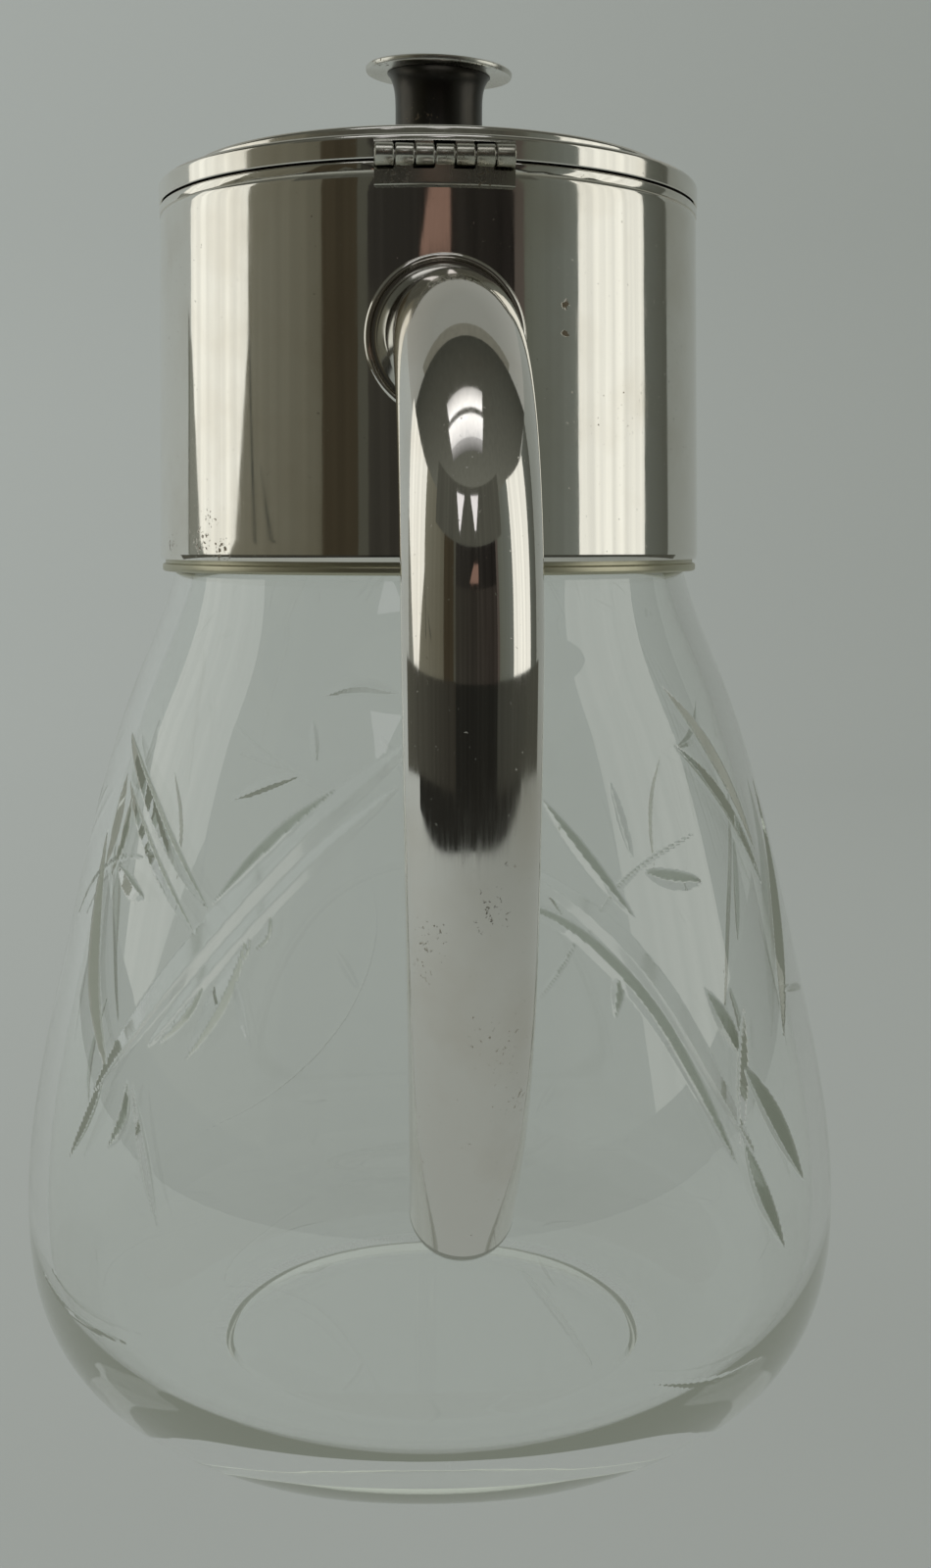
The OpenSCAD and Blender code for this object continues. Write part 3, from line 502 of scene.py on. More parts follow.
BASE_NICKS = [
    (1.2, 1, 0.5, [(-66, 33), (-56, 30), (-43, 31)]),
    (1.2, 0, 0.5, [(24, 28), (34, 24), (44, 24)]),
    (1.2, 0, 0.5, [(7, 51), (12, 42), (16, 33)]),
]
SLOPE = 0.42
SOFT_EDGE = 0.35
LEAST_R = 55
MEAN_R = 68
CUTS = [
    (width / 2, flank, ends, wheel_path(path))
    for width, flank, ends, path in LEFT_SPRAY + RIGHT_SPRAY + FAR_SPRAY + SIDE_LEAVES + BASE_NICKS
]


def wheel_marks(bearing, way):
    """Depth in mm, painted flank shade and matt share of the cuts at these bearings and ways down the wall.
    """
    depth = np.zeros(len(bearing))
    flank_shade = np.zeros(len(bearing))
    matt = np.zeros(len(bearing))
    radius = np.interp(way, np.arange(len(OUTSIDE)) * RUN_LENGTH, OUTSIDE[:, 0])
    for half, flank, ends, path in CUTS:
        middle = path[:, 0].mean()
        turn = (bearing - middle + math.pi) % (2 * math.pi) - math.pi + middle
        reach = half + 1
        near = (way > path[:, 1].min() - reach) & (way < path[:, 1].max() + reach)
        near &= (turn > path[:, 0].min() - reach / LEAST_R) & (turn < path[:, 0].max() + reach / LEAST_R)
        here = np.flatnonzero(near)
        if len(here) == 0:
            continue
        x = turn[here]
        y = way[here]
        r = radius[here]
        lengths = np.hypot(np.diff(path[:, 0]) * MEAN_R, np.diff(path[:, 1]))
        starts = np.concatenate([[0], np.cumsum(lengths)])
        best = np.full(len(here), 1e9)
        side = np.zeros(len(here))
        share = np.zeros(len(here))
        for k in range(len(path) - 1):
            ax = (x - path[k, 0]) * r
            ay = y - path[k, 1]
            bx = (path[k + 1, 0] - path[k, 0]) * r
            by = path[k + 1, 1] - path[k, 1]
            t = np.clip((ax * bx + ay * by) / (bx * bx + by * by), 0, 1)
            off = np.hypot(ax - t * bx, ay - t * by)
            closer = off < best
            best[closer] = off[closer]
            side[closer] = np.sign(ax * by - ay * bx)[closer]
            share[closer] = ((starts[k] + t * lengths[k]) / starts[-1])[closer]
        width = half * np.sin(math.pi * share) ** ends
        hollow = np.clip(width - best, 0, None) * SLOPE
        deeper = hollow > depth[here]
        depth[here] = np.where(deeper, hollow, depth[here])
        inside = np.clip((width - best) / SOFT_EDGE, 0, 1)
        marked = flank * side > 0
        flank_shade[here] = np.where(deeper, inside * marked, flank_shade[here])
        matt[here] = np.where(deeper, inside * (flank == 0), matt[here])
    return depth, flank_shade, matt


OUTER_STEP = 1.55
INNER_STEP = 2.4


def cut_glass():
    """The glass as one closed mesh: a coarse grid, and a fine one wherever the wheel has been."""
    columns = 288
    fine = 4
    rows = len(even_line(OUTSIDE, OUTER_STEP)) - 1
    fine_ways = np.linspace(0, (len(OUTSIDE) - 1) * RUN_LENGTH, rows * fine + 1)
    ways_known = np.arange(len(OUTSIDE)) * RUN_LENGTH
    fine_r = np.interp(fine_ways, ways_known, OUTSIDE[:, 0])
    fine_z = np.interp(fine_ways, ways_known, OUTSIDE[:, 1])
    wide = columns * fine
    grid_bearing = 2 * math.pi * np.arange(wide) / wide - math.pi
    cell_bearing = np.repeat(grid_bearing[None, :], rows * fine + 1, 0)
    cell_way = np.repeat(fine_ways[:, None], wide, 1)
    depth, flank_shade, matt = wheel_marks(cell_bearing.ravel(), cell_way.ravel())
    depth = depth.reshape(rows * fine + 1, wide)
    worked = depth > 0
    worked_cell = np.zeros((rows, columns), bool)
    for down in range(fine + 1):
        for along in range(fine + 1):
            part = np.roll(worked, -along, axis=1)[down : down + rows * fine : fine, ::fine]
            worked_cell |= part[:rows, :columns]
    index = {}
    order = []

    def point(i, j):
        key = (i, j % wide)
        if key not in index:
            index[key] = len(order)
            order.append(key)
        return index[key]

    faces = []
    for i in range(rows):
        for j in range(columns):
            top = i * fine
            left = j * fine
            if worked_cell[i, j]:
                for a in range(top, top + fine):
                    for b in range(left, left + fine):
                        faces.append((point(a, b), point(a + 1, b), point(a + 1, b + 1), point(a, b + 1)))
                continue
            split_left = worked_cell[i, j - 1]
            split_right = worked_cell[i, (j + 1) % columns]
            split_up = i > 0 and worked_cell[i - 1, j]
            split_down = i < rows - 1 and worked_cell[i + 1, j]
            ring = [(top + k, left) for k in range(0, fine, 1 if split_left else fine)]
            ring += [(top + fine, left + k) for k in range(0, fine, 1 if split_down else fine)]
            ring += [(top + fine - k, left + fine) for k in range(0, fine, 1 if split_right else fine)]
            ring += [(top, left + fine - k) for k in range(0, fine, 1 if split_up else fine)]
            faces.append(tuple(point(*corner) for corner in ring))
    keys = np.array(order)
    bearing = grid_bearing[keys[:, 1]]
    way = fine_ways[keys[:, 0]]
    r = fine_r[keys[:, 0]]
    z = fine_z[keys[:, 0]]
    hollow, flank_shade, matt = wheel_marks(bearing, way)
    nudge = 0.06
    slope_way = (wheel_marks(bearing, way + nudge)[0] - wheel_marks(bearing, way - nudge)[0]) / (2 * nudge)
    aside = nudge / r
    slope_side = (wheel_marks(bearing + aside, way)[0] - wheel_marks(bearing - aside, way)[0]) / (2 * nudge)
    run_r = np.gradient(fine_r, fine_ways)[keys[:, 0]]
    run_z = np.gradient(fine_z, fine_ways)[keys[:, 0]]
    size = np.hypot(run_r, run_z)
    out_r = -run_z / size
    out_z = run_r / size
    r_cut = r - hollow * out_r
    z_cut = z - hollow * out_z
    sin_b = np.sin(bearing)
    cos_b = np.cos(bearing)
    verts = np.column_stack([r_cut * sin_b, -r_cut * cos_b, z_cut])
    lean_r = out_r + slope_way * run_r / size
    lean_z = out_z + slope_way * run_z / size
    normals = np.column_stack([
        lean_r * sin_b + slope_side * cos_b,
        -lean_r * cos_b + slope_side * sin_b,
        lean_z,
    ])
    normals /= np.linalg.norm(normals, axis=1)[:, None]
    inner = even_line(wall_line(WALL) + corner_line(BELLY[0] - WALL, BELLY[1], FLOOR_R, FLOOR_Z), INNER_STEP)
    kick_r = RING_IN_R - KICK
    under = [(RING_IN_R + 0.3, 0), (RING_IN_R, 0.15), (kick_r, KICK - 0.1), (kick_r - 0.4, KICK)]
    under += [(30, KICK), (18, KICK), (7, KICK)]
    inner_rings = [tuple(p) for p in inner] + [(36, FLOOR_Z), (25, FLOOR_Z), (14, FLOOR_Z), (5, FLOOR_Z)]
    extra = []
    start = len(order)

    def add_ring(radius, height):
        first = start + len(extra)
        for k in range(columns):
            turn = 2 * math.pi * k / columns - math.pi
            extra.append((radius * math.sin(turn), -radius * math.cos(turn), height))
        return list(range(first, first + columns))

    def join(a, b):
        for k in range(columns):
            n = (k + 1) % columns
            faces.append((a[k], b[k], b[n], a[n]))

    def close(ring, height, upward):
        middle = start + len(extra)
        extra.append((0, 0, height))
        for k in range(columns):
            n = (k + 1) % columns
            faces.append((ring[n], ring[k], middle) if upward else (ring[k], ring[n], middle))

    last = [point(rows * fine, k * fine) for k in range(columns)]
    for radius, height in under:
        ring = add_ring(radius, height)
        join(last, ring)
        last = ring
    close(last, KICK, False)
    last = [point(0, k * fine) for k in range(columns)]
    for radius, height in inner_rings:
        ring = add_ring(radius, height)
        join(ring, last)
        last = ring
    close(last, FLOOR_Z, True)
    verts = np.vstack([verts, np.array(extra)]) * MM
    piece = new_piece("glass_body_cut", verts, faces, 180)
    face_outward(piece)
    mesh = piece.data
    all_normals = np.zeros(len(mesh.vertices) * 3)
    mesh.vertices.foreach_get("normal", all_normals)
    all_normals = all_normals.reshape(-1, 3)
    smooth = keys[:, 0] < rows * fine
    all_normals[: len(order)][smooth] = normals[smooth]
    mesh.normals_split_custom_set_from_vertices([tuple(n) for n in all_normals])
    for name, values in (("painted_flank_shade", flank_shade), ("matt_cut", matt)):
        layer = mesh.attributes.new(name, "FLOAT", "POINT")
        layer.data.foreach_set("value", np.concatenate([values, np.zeros(len(extra))]).astype(np.float32))
    return piece


glass = cut_glass()
# The shaded flank of each cut gets painted shade: a darker grey-green tint and less clear glass.
CUT_PAINTED_SHADE = (0.46, 0.50, 0.42)
CLEAR_TINT = (0.985, 0.995, 0.985)
PAINTED_DEEP_GLOW = (0.078, 0.085, 0.067, 1)
MANY_MIRRORINGS = 3.5
OUTER_COAT = 0.55
MATT_ROUGH = 0.16
FLANK_ROUGH = 0.22
SHADED_FLANK_CLEAR = 0.72
clear_glass, tree, shader = new_material("clear_glass", (1, 1, 1), 0.0)
flank = add_node(tree, "Attribute", attribute_name="painted_flank_shade").outputs["Fac"]
matt_cut = add_node(tree, "Attribute", attribute_name="matt_cut").outputs["Fac"]
place = add_node(tree, "TexCoord").outputs["Object"]
haze = ramp(tree, noise(tree, place, 26, 4), 0.5, 0.75, 0, 0.03)
ground = combine(tree, "MULTIPLY_ADD", matt_cut, MATT_ROUGH, haze)
# The polished outside mirrors the windows more strongly than the inside does. Where a ray
# has been mirrored to and fro inside the thick corners, the glass glows faintly olive: painted light.
from_inside = add_node(tree, "NewGeometry").outputs["Backfacing"]
thrown = add_node(tree, "LightPath").outputs["Glossy Depth"]
give(tree, shader, {
    "Base Color": blend(tree, flank, CLEAR_TINT, CUT_PAINTED_SHADE),
    "Roughness": combine(tree, "MULTIPLY_ADD", flank, FLANK_ROUGH, ground),
    "IOR": 1.52,
    "Transmission Weight": ramp(tree, flank, 0, 1, 1, SHADED_FLANK_CLEAR),
    "Coat Weight": ramp(tree, from_inside, 0, 1, OUTER_COAT, 0),
    "Coat Roughness": 0,
    "Coat IOR": 1.6,
    "Emission Strength": combine(tree, "GREATER_THAN", thrown, MANY_MIRRORINGS),
    "Emission Color": PAINTED_DEEP_GLOW,
})
glass.data.materials.append(clear_glass)
glass.visible_shadow = False
glass.visible_diffuse = False
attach(glass, "jug")
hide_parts("glass_body")

# ------------------------------------------------------------------ plaster and stop ring
# The collar is bedded on the neck in plaster of Paris, poured in from above. A ring of
# silvered sheet, soldered inside the collar, lies over the lip of the glass and shuts the
# plaster in.
plaster, tree, shader = new_material("plaster", (0.86, 0.84, 0.78), 0.85)
grain = noise(tree, add_node(tree, "TexCoord").outputs["Object"], 900, 5)
relief = add_node(tree, "Bump", {"Strength": 0.4, "Distance": 0.2 * MM, "Height": grain}).outputs["Normal"]
tone = blend(tree, grain, (0.90, 0.88, 0.82), (0.70, 0.67, 0.60))
give(tree, shader, {"Base Color": tone, "Normal": relief})


def dress(name, material):
    """Gives a node of the part this material and no other."""
    cad[name].data.materials.clear()
    cad[name].data.materials.append(material)


def wiped_metal(name, colour, worn, roughness, wear, spots=(), pitted=(0.20, 0.165, 0.12)):
    """Metal with wiping marks, patches gone over to a worn colour, and small dark pits.
    Pits lie all over in ones and twos, and crowd round each spot: x, y, z, radius, strength."""
    material, tree, shader = new_material(name, colour, roughness, 1.0)
    place = add_node(tree, "TexCoord").outputs["Object"]
    patches = ramp(tree, noise(tree, place, 45, 4), 0.48, 0.72, 0, wear)
    crowd = ramp(tree, noise(tree, place, 30, 2), 0.60, 0.75, 0, 0.05)
    for x, y, z, radius, strength in spots:
        spot = {0: place, 1: (x * MM, y * MM, z * MM)}
        away = add_node(tree, "VectorMath", spot, operation="DISTANCE").outputs["Value"]
        near = ramp(tree, away, radius * 0.3 * MM, radius * MM, strength, 0)
        crowd = combine(tree, "MAXIMUM", crowd, near)
    pits = ramp(tree, combine(tree, "ADD", noise(tree, place, 1500, 3), crowd), 0.72, 0.80, 0, 1)
    drawn_out = {"Vector": place, "Scale": (1, 1, 0.06), "Rotation": (0.5, 0.3, 0)}
    scratches = noise(tree, add_node(tree, "Mapping", drawn_out).outputs["Vector"], 2600, 3)
    rough = combine(tree, "ADD", ramp(tree, scratches, 0.3, 0.7, 0, 0.035), roughness)
    for mark, roughening in ((patches, 0.12), (pits, 0.3)):
        rough = combine(tree, "ADD", rough, combine(tree, "MULTIPLY", mark, roughening))
    relief = combine(tree, "SUBTRACT", combine(tree, "MULTIPLY", scratches, 0.06), pits)
    bump = add_node(tree, "Bump", {"Strength": 0.25, "Distance": 0.05 * MM, "Height": relief})
    tone = blend(tree, pits, blend(tree, patches, colour, worn), pitted)
    give(tree, shader, {"Base Color": tone, "Roughness": rough, "Normal": bump.outputs["Normal"]})
    return material


DULL = (0.56, 0.55, 0.51)
satin_silver = wiped_metal("satin_silver", DULL, (0.36, 0.32, 0.26), 0.30, 0.8)
dress("plaster_ring", plaster)
dress("glass_stop_ring", satin_silver)

# ------------------------------------------------------------------ collar
# A tall sleeve of silver-plated sheet, rolled and soldered to a seam, a touch wider at its
# foot, with its edges turned over soft. A flat rim is soldered in its top for the lid to
# close on, and a thin ring that has lost its plate shows as a khaki line under its foot.
PLATE = (0.84, 0.82, 0.775)
TARNISH = (0.64, 0.58, 0.48)
COLLAR_FOOT = 159.3
COLLAR_TOP = 221.9
RIM_Z = 220.4
SLEEVE_TOP_R = 49.0
SLEEVE_FLARE = 1.4
SHEET_T = 0.9
HINGE_W = 22.3
HINGE_LEAF_Z = 217.9
WINDOW_W = 16.0
WINDOW_LOW = 203.0
WINDOW_HIGH = 217.0


def sleeve_radius(z):
    """Outer radius of the sleeve at height z."""
    return SLEEVE_TOP_R + SLEEVE_FLARE * (RIM_Z - z) / (RIM_Z - COLLAR_FOOT)


def hand_rolled(bearing, z):
    """How far the rolled sheet wanders from round, in mm, which makes mirrored edges waver."""
    turn = math.radians(bearing)
    drift = math.sin(3 * turn + 0.6 + z * 0.021) + 0.6 * math.sin(5 * turn - z * 0.043 + 2.0)
    return 0.014 * drift + 0.006 * math.sin(11 * turn + z * 0.09)


def bent_sheet(name, outer, inner, bearings, cut_away, wander):
    """A ring of sheet between two lines of (radius, height), in mm, less its cut-away cells."""
    verts = []
    for r, z in outer + inner:
        for bearing in bearings:
            turn = math.radians(bearing)
            reach = r + wander(bearing, z)
            verts.append((reach * math.sin(turn) * MM, -reach * math.cos(turn) * MM, z * MM))
    rows = len(outer) - 1
    columns = len(bearings)
    back = len(outer) * columns

    def kept(i, j):
        if not 0 <= i < rows:
            return False
        j %= columns
        middle = (bearings[j] + (bearings[j + 1] if j + 1 < columns else bearings[0] + 360)) / 2
        return not cut_away(middle, (outer[i][1] + outer[i + 1][1]) / 2)

    faces = []
    for i in range(rows):
        for j in range(columns):
            if not kept(i, j):
                continue
            n = (j + 1) % columns
            a, b, c, d = i * columns + j, i * columns + n, (i + 1) * columns + n, (i + 1) * columns + j
            faces += [(a, b, c, d), (a + back, d + back, c + back, b + back)]
            beside = (((i - 1, j), a, b), ((i, j + 1), b, c), ((i + 1, j), c, d), ((i, j - 1), d, a))
            for other, p, q in beside:
                if not kept(*other):
                    faces.append((q, p, p + back, q + back))
    piece = new_piece(name, verts, faces, 35)
    work = bmesh.new()
    work.from_mesh(piece.data)
    bmesh.ops.delete(work, geom=[v for v in work.verts if not v.link_faces], context="VERTS")
    bmesh.ops.recalc_face_normals(work, faces=work.faces)
    work.to_mesh(piece.data)
    work.free()
    return piece


def soften(name, width, steps=2):
    """Breaks the sharp edges of a node of the part by a small round of that width in mm."""
    joined = cad[name].modifiers.new("joined", "WELD")
    joined.merge_threshold = 0.002 * MM
    edge = cad[name].modifiers.new("soft_edges", "BEVEL")
    edge.width = width * MM
    edge.segments = steps
    edge.limit_method = "ANGLE"
    edge.angle_limit = math.radians(38)
    edge.harden_normals = True


def bearings_with(step, marks):
    """Bearings all round in even steps, with these ones put in and their near neighbours left out."""
    even = [-180 + step * k for k in range(round(360 / step))]
    kept = [b for b in even if all(abs(b - m) > step * 0.4 for m in marks)]
    return sorted(kept + list(marks))


hinge_edge = math.degrees(math.asin(HINGE_W / 2 / SLEEVE_TOP_R))
window_edge = math.degrees(math.asin(WINDOW_W / 2 / SLEEVE_TOP_R))
sleeve_bearings = bearings_with(2.25, [-hinge_edge, hinge_edge, 180 - window_edge, window_edge - 180])
sleeve_heights = [COLLAR_FOOT, 159.9, 160.5, 163, 167, 172, 178, 184, 190, 196, WINDOW_LOW, 210]
sleeve_heights += [WINDOW_HIGH, HINGE_LEAF_Z, 219.4, 220.0, RIM_Z]
EDGE_TUCK = {COLLAR_FOOT: 0.22, 159.9: 0.05, 220.0: 0.05, RIM_Z: 0.20}
sleeve_out = [(sleeve_radius(z) - EDGE_TUCK.get(z, 0), z) for z in sleeve_heights]
sleeve_in = [(sleeve_radius(z) - SHEET_T, z) for z in sleeve_heights]


def sleeve_gaps(bearing, z):
    """True in the hinge's notch and in the window behind the pouring lip."""
    return (abs(bearing) < hinge_edge and z > HINGE_LEAF_Z) or (
        abs(bearing) > 180 - window_edge and WINDOW_LOW < z < WINDOW_HIGH
    )


sleeve = bent_sheet("collar_sleeve_plated", sleeve_out, sleeve_in, sleeve_bearings, sleeve_gaps, hand_rolled)
SLEEVE_SPOTS = [
    (-46.8, -18.5, 162.1, 3.5, 0.15), (-40.8, -29.5, 162.6, 4.5, 0.17), (-37.2, -34, 161.3, 3.5, 0.17),
    (-38.9, -31.8, 166.3, 3.0, 0.16), (19.7, -45.4, 200.6, 1.1, 0.4), (19.7, -45.5, 195.9, 0.9, 0.4),
]
collar_plate = wiped_metal("collar_plate", PLATE, TARNISH, 0.035, 0.45, SLEEVE_SPOTS)
sleeve.data.materials.append(collar_plate)
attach(sleeve, "jug")
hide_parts("collar_sleeve")
soften("collar_rim", 0.12)
dress("collar_rim", collar_plate)

TRIM_OUT_R = 50.1
TRIM_IN_R = 48.1
trim_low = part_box("collar_trim_ring")[0].z / MM
trim_line = [
    (TRIM_IN_R, trim_low, 0.2), (TRIM_OUT_R, trim_low, 0.5), (TRIM_OUT_R - 0.1, COLLAR_FOOT - 0.9, 0.2),
    (TRIM_OUT_R - 0.6, COLLAR_FOOT - 0.7, 0.1), (TRIM_OUT_R - 0.6, COLLAR_FOOT, 0),
    (TRIM_IN_R, COLLAR_FOOT, 0),
]
trim = turned("collar_trim_ring_worn", rounded(trim_line), 160)
KHAKI = (0.52, 0.50, 0.38)
bare_brass = wiped_metal("bare_brass", KHAKI, (0.42, 0.40, 0.29), 0.30, 0.7)
trim.data.materials.append(bare_brass)
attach(trim, "jug")
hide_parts("collar_trim_ring")

# ------------------------------------------------------------------ pouring lip and strainer
# The lip is raised from one piece of plated sheet into a soft beak and soldered to the
# collar, opposite the hinge, over a window. A pierced plate behind the window holds back
# ice and fruit.
LIP_TOP = 221.4
LIP_H = 35.0
LIP_W = 36.0
LIP_REACH = 15.0
LIP_FOOT_OUT = 0.6
LIP_WIDENING = 0.7
LIP_SWEEP = 1.7
LIP_SINK = 0.5


def lip_point(share, across, inset):
    """A point of the beak at that share of its height, across from -1 to 1, inset in mm."""
    z = LIP_TOP - LIP_H * (1 - share)
    half = max(LIP_W / 2 * share**LIP_WIDENING - inset, 0.1)
    out = max(LIP_REACH * share**LIP_SWEEP + LIP_FOOT_OUT + LIP_SINK - inset, 0.1)
    x = half * across
    y = math.sqrt(sleeve_radius(z) ** 2 - x * x) - LIP_SINK + out * max(math.cos(math.pi / 2 * across), 0)
    return (x * MM, y * MM, z * MM)


def beak(name):
    """The lip as a thin shell, with a rolled upper edge, open at the top and to the collar."""
    levels = 30
    points = 48
    roll = [(0.0, 0.0), (0.15, 0.10), (0.45, 0.16), (0.75, 0.10), (0.9, 0.0)]
    rows = [(0.04 + 0.96 * k / levels, 0.0, 0.0) for k in range(levels + 1)]
    rows += [(1.0, inset, rise) for inset, rise in roll[1:-1]]
    rows += [(0.04 + 0.96 * k / levels, roll[-1][0], 0.0) for k in range(levels, -1, -1)]
    verts = []
    for share, inset, rise in rows:
        for k in range(points + 1):
            x, y, z = lip_point(share, 2 * k / points - 1, inset)
            verts.append((x, y, z + rise * MM))
    wide = points + 1
    faces = []
    for i in range(len(rows)):
        below = (i + 1) % len(rows)
        for k in range(points):
            faces.append((i * wide + k, i * wide + k + 1, below * wide + k + 1, below * wide + k))
    edges = [[i * wide + side for i in range(len(rows))] for side in (0, points)]
    for i in range(len(rows) // 2):
        j = len(rows) - 1 - i
        if j - i < 2:
            break
        for edge in edges:
            quad = [edge[i], edge[i + 1], edge[j - 1], edge[j]]
            faces.append(tuple(dict.fromkeys(quad)))
    piece = new_piece(name, verts, faces, 50)
    face_outward(piece)
    return piece


lip = beak("pouring_lip_plated")
lip.data.materials.append(collar_plate)
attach(lip, "jug")
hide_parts("pouring_lip")
soften("strainer", 0.08, 1)
dress("strainer", satin_silver)

# ------------------------------------------------------------------ lid
# The lid is spun from one disc of plated sheet: an upright band, a narrow flat, a step and
# a low dome. Its band is notched for the hinge. A plain ring soldered inside it drops into
# the collar's rim and keeps the lid in its middle.
LID_Z = 222.2
LID_R = 49.15
LID_T = 0.9
LID_EDGE = 0.8
FLAT_Z = 226.0
STEP_R = 44.05
STEP_Z = 228.4
STEP_EDGE = 0.8
COVE = 1.0
DOME_R = STEP_R - STEP_EDGE
DOME_H = 4.0
SEAT_R = 11.1
HOLE_R = 2.2
LEAF_TOP = 224.95


def dome_height(r):
    """Height of the lid's low dome at radius r."""
    return STEP_Z + DOME_H * (1 - r * r / (DOME_R * DOME_R))


def arc(r, z, radius, start, end, steps):
    """Points of an arc about (r, z), its angles in degrees."""
    turns = [math.radians(start + (end - start) * k / steps) for k in range(steps + 1)]
    return [(r + radius * math.cos(turn), z + radius * math.sin(turn)) for turn in turns]


def lid_line(inset):
    """The spun line from the band up to the middle, drawn in by that inset."""
    line = [(LID_R - inset + tuck, z) for tuck, z in ((-0.12, LID_Z), (0, LID_Z + 0.15), (0, 223.6))]
    line += [(LID_R - inset, LEAF_TOP)]
    line += arc(LID_R - LID_EDGE, FLAT_Z - LID_EDGE, max(LID_EDGE - inset, 0.05), 0, 90, 6)
    line += [(STEP_R + 3.2, FLAT_Z - inset)]
    line += arc(STEP_R + COVE, FLAT_Z + COVE, COVE + inset, -90, -180, 6)
    line += arc(STEP_R - STEP_EDGE, STEP_Z - STEP_EDGE, max(STEP_EDGE - inset, 0.05), 0, 80, 6)
    radii = [DOME_R - inset - 0.35 - (DOME_R - 0.35 - SEAT_R) * k / 12 for k in range(1, 12)]
    line += [(r, dome_height(r) - inset) for r in radii]
    line += [(r, dome_height(SEAT_R) - inset) for r in (SEAT_R, SEAT_R - 2, 6, HOLE_R)]
    return line


lid_edge = math.degrees(math.asin(HINGE_W / 2 / LID_R))
lid = bent_sheet(
    "lid_cover_spun", lid_line(0), lid_line(LID_T), bearings_with(2.25, [-lid_edge, lid_edge]),
    lambda bearing, z: abs(bearing) < lid_edge and z < LEAF_TOP,
    lambda bearing, z: 0.5 * hand_rolled(bearing + 40, z * 2),
)
LID_SPOTS = [(-20, -30, 230, 9, 0.12), (25, -22, 230, 7, 0.12)]
lid_plate = wiped_metal("lid_plate", PLATE, TARNISH, 0.045, 0.5, LID_SPOTS)
lid.data.materials.append(lid_plate)
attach(lid, "lid")
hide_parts("lid_cover")
soften("lid_centring_ring", 0.15)
dress("lid_centring_ring", satin_silver)

# ------------------------------------------------------------------ knob
# A thin plated disc, slightly domed, on a waisted neck of dark bare metal. A stud screwed
# up into the disc passes through the lid, where a washer and a nut draw the knob down. The
# knob sits a little off the middle, and its disc leans to the handle and to the right.
KNOB_X = 1.9
KNOB_FOOT_Z = dome_height(SEAT_R)
NECK_H = 14.7
WAIST_R = 7.95
FOOT_SWELL = 0.65
FLARE = 1.5
BORE_R = 5.3
DISC_R = 13.35
DISC_RIM = 1.0
DISC_RISE = 0.4
KNOB_LEAN = math.radians(3.0)
KNOB_TIP = math.radians(2.3)


def neck_radius(share):
    """Radius of the knob's neck at that share of its height."""
    if share < 0.5:
        return WAIST_R + FOOT_SWELL * (1 - 2 * share) ** 2
    return WAIST_R + FLARE * (2 * share - 1) ** 4


def set_on_lid(piece, height):
    """Puts the points of a piece of the knob at that height, and leaves its object at the origin."""
    piece.data.transform(Matrix.Translation(Vector((KNOB_X, 0, height)) * MM))


def leaning(piece, height):
    """Tips the top of a neck of that height to the handle and to the right. Its foot stays."""
    for point in piece.data.vertices:
        share = max(point.co.z / (height * MM), 0) ** 2
        point.co.z += share * (point.co.y * math.sin(KNOB_LEAN) - point.co.x * math.sin(KNOB_TIP))
    return piece


neck_line = [(BORE_R, 0, 0), (neck_radius(0) - 0.1, 0, 0), (neck_radius(0), 0.25, 0)]
neck_line += [(neck_radius(k / 24), NECK_H * k / 24, 0) for k in range(1, 24)]
neck_line += [(neck_radius(1) - 0.05, NECK_H - 0.2, 0), (neck_radius(1) - 0.25, NECK_H, 0)]
neck_line += [(BORE_R, NECK_H, 0)]
knob_neck = leaning(turned("knob_neck_dark", rounded(neck_line), 96), NECK_H)
set_on_lid(knob_neck, KNOB_FOOT_Z)
NECK_DARK = (0.055, 0.052, 0.047)
NECK_SPOTS = [(-3, -8, 236, 7, 0.15)]
neck_metal = wiped_metal("neck_metal", NECK_DARK, (0.22, 0.20, 0.15), 0.30, 0.35, NECK_SPOTS)
knob_neck.data.materials.append(neck_metal)
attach(knob_neck, "lid")
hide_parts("knob_neck")

STUD_BOSS_R = 3.95
STUD_BOSS_H = 5.0
STUD_HOLE_R = 2.0
DISC_SEAT = 0.1
disc_line = [
    (STUD_HOLE_R, 0, 0), (STUD_HOLE_R, -STUD_BOSS_H, 0), (STUD_BOSS_R, -STUD_BOSS_H, 0.3),
    (STUD_BOSS_R, 0, 0.3), (DISC_R - 0.15, 0, 0), (DISC_R, 0.3, 0), (DISC_R, DISC_RIM - 0.25, 0),
    (DISC_R - 0.25, DISC_RIM + 0.02, 0),
]
for k in range(1, 10):
    disc_line.append((DISC_R * (1 - k / 9), DISC_RIM + DISC_RISE * (1 - (1 - k / 9) ** 2), 0))
disc = turned("knob_disc_domed", rounded(disc_line), 128)
disc.data.transform(Matrix.Rotation(KNOB_TIP, 4, "Y") @ Matrix.Rotation(KNOB_LEAN, 4, "X"))
set_on_lid(disc, KNOB_FOOT_Z + NECK_H - DISC_SEAT)
DISC_SPOTS = [(8, -10, 248, 8, 0.14), (-9, -8, 248, 6, 0.14)]
disc_plate = wiped_metal("disc_plate", (0.70, 0.69, 0.64), (0.50, 0.46, 0.38), 0.20, 0.8, DISC_SPOTS)
disc.data.materials.append(disc_plate)
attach(disc, "lid")
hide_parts("knob_disc")
for fixing in ("knob_stud", "knob_washer"):
    soften(fixing, 0.1)
    dress(fixing, satin_silver)
soften("knob_nut", 0.25)
dress("knob_nut", bare_brass)

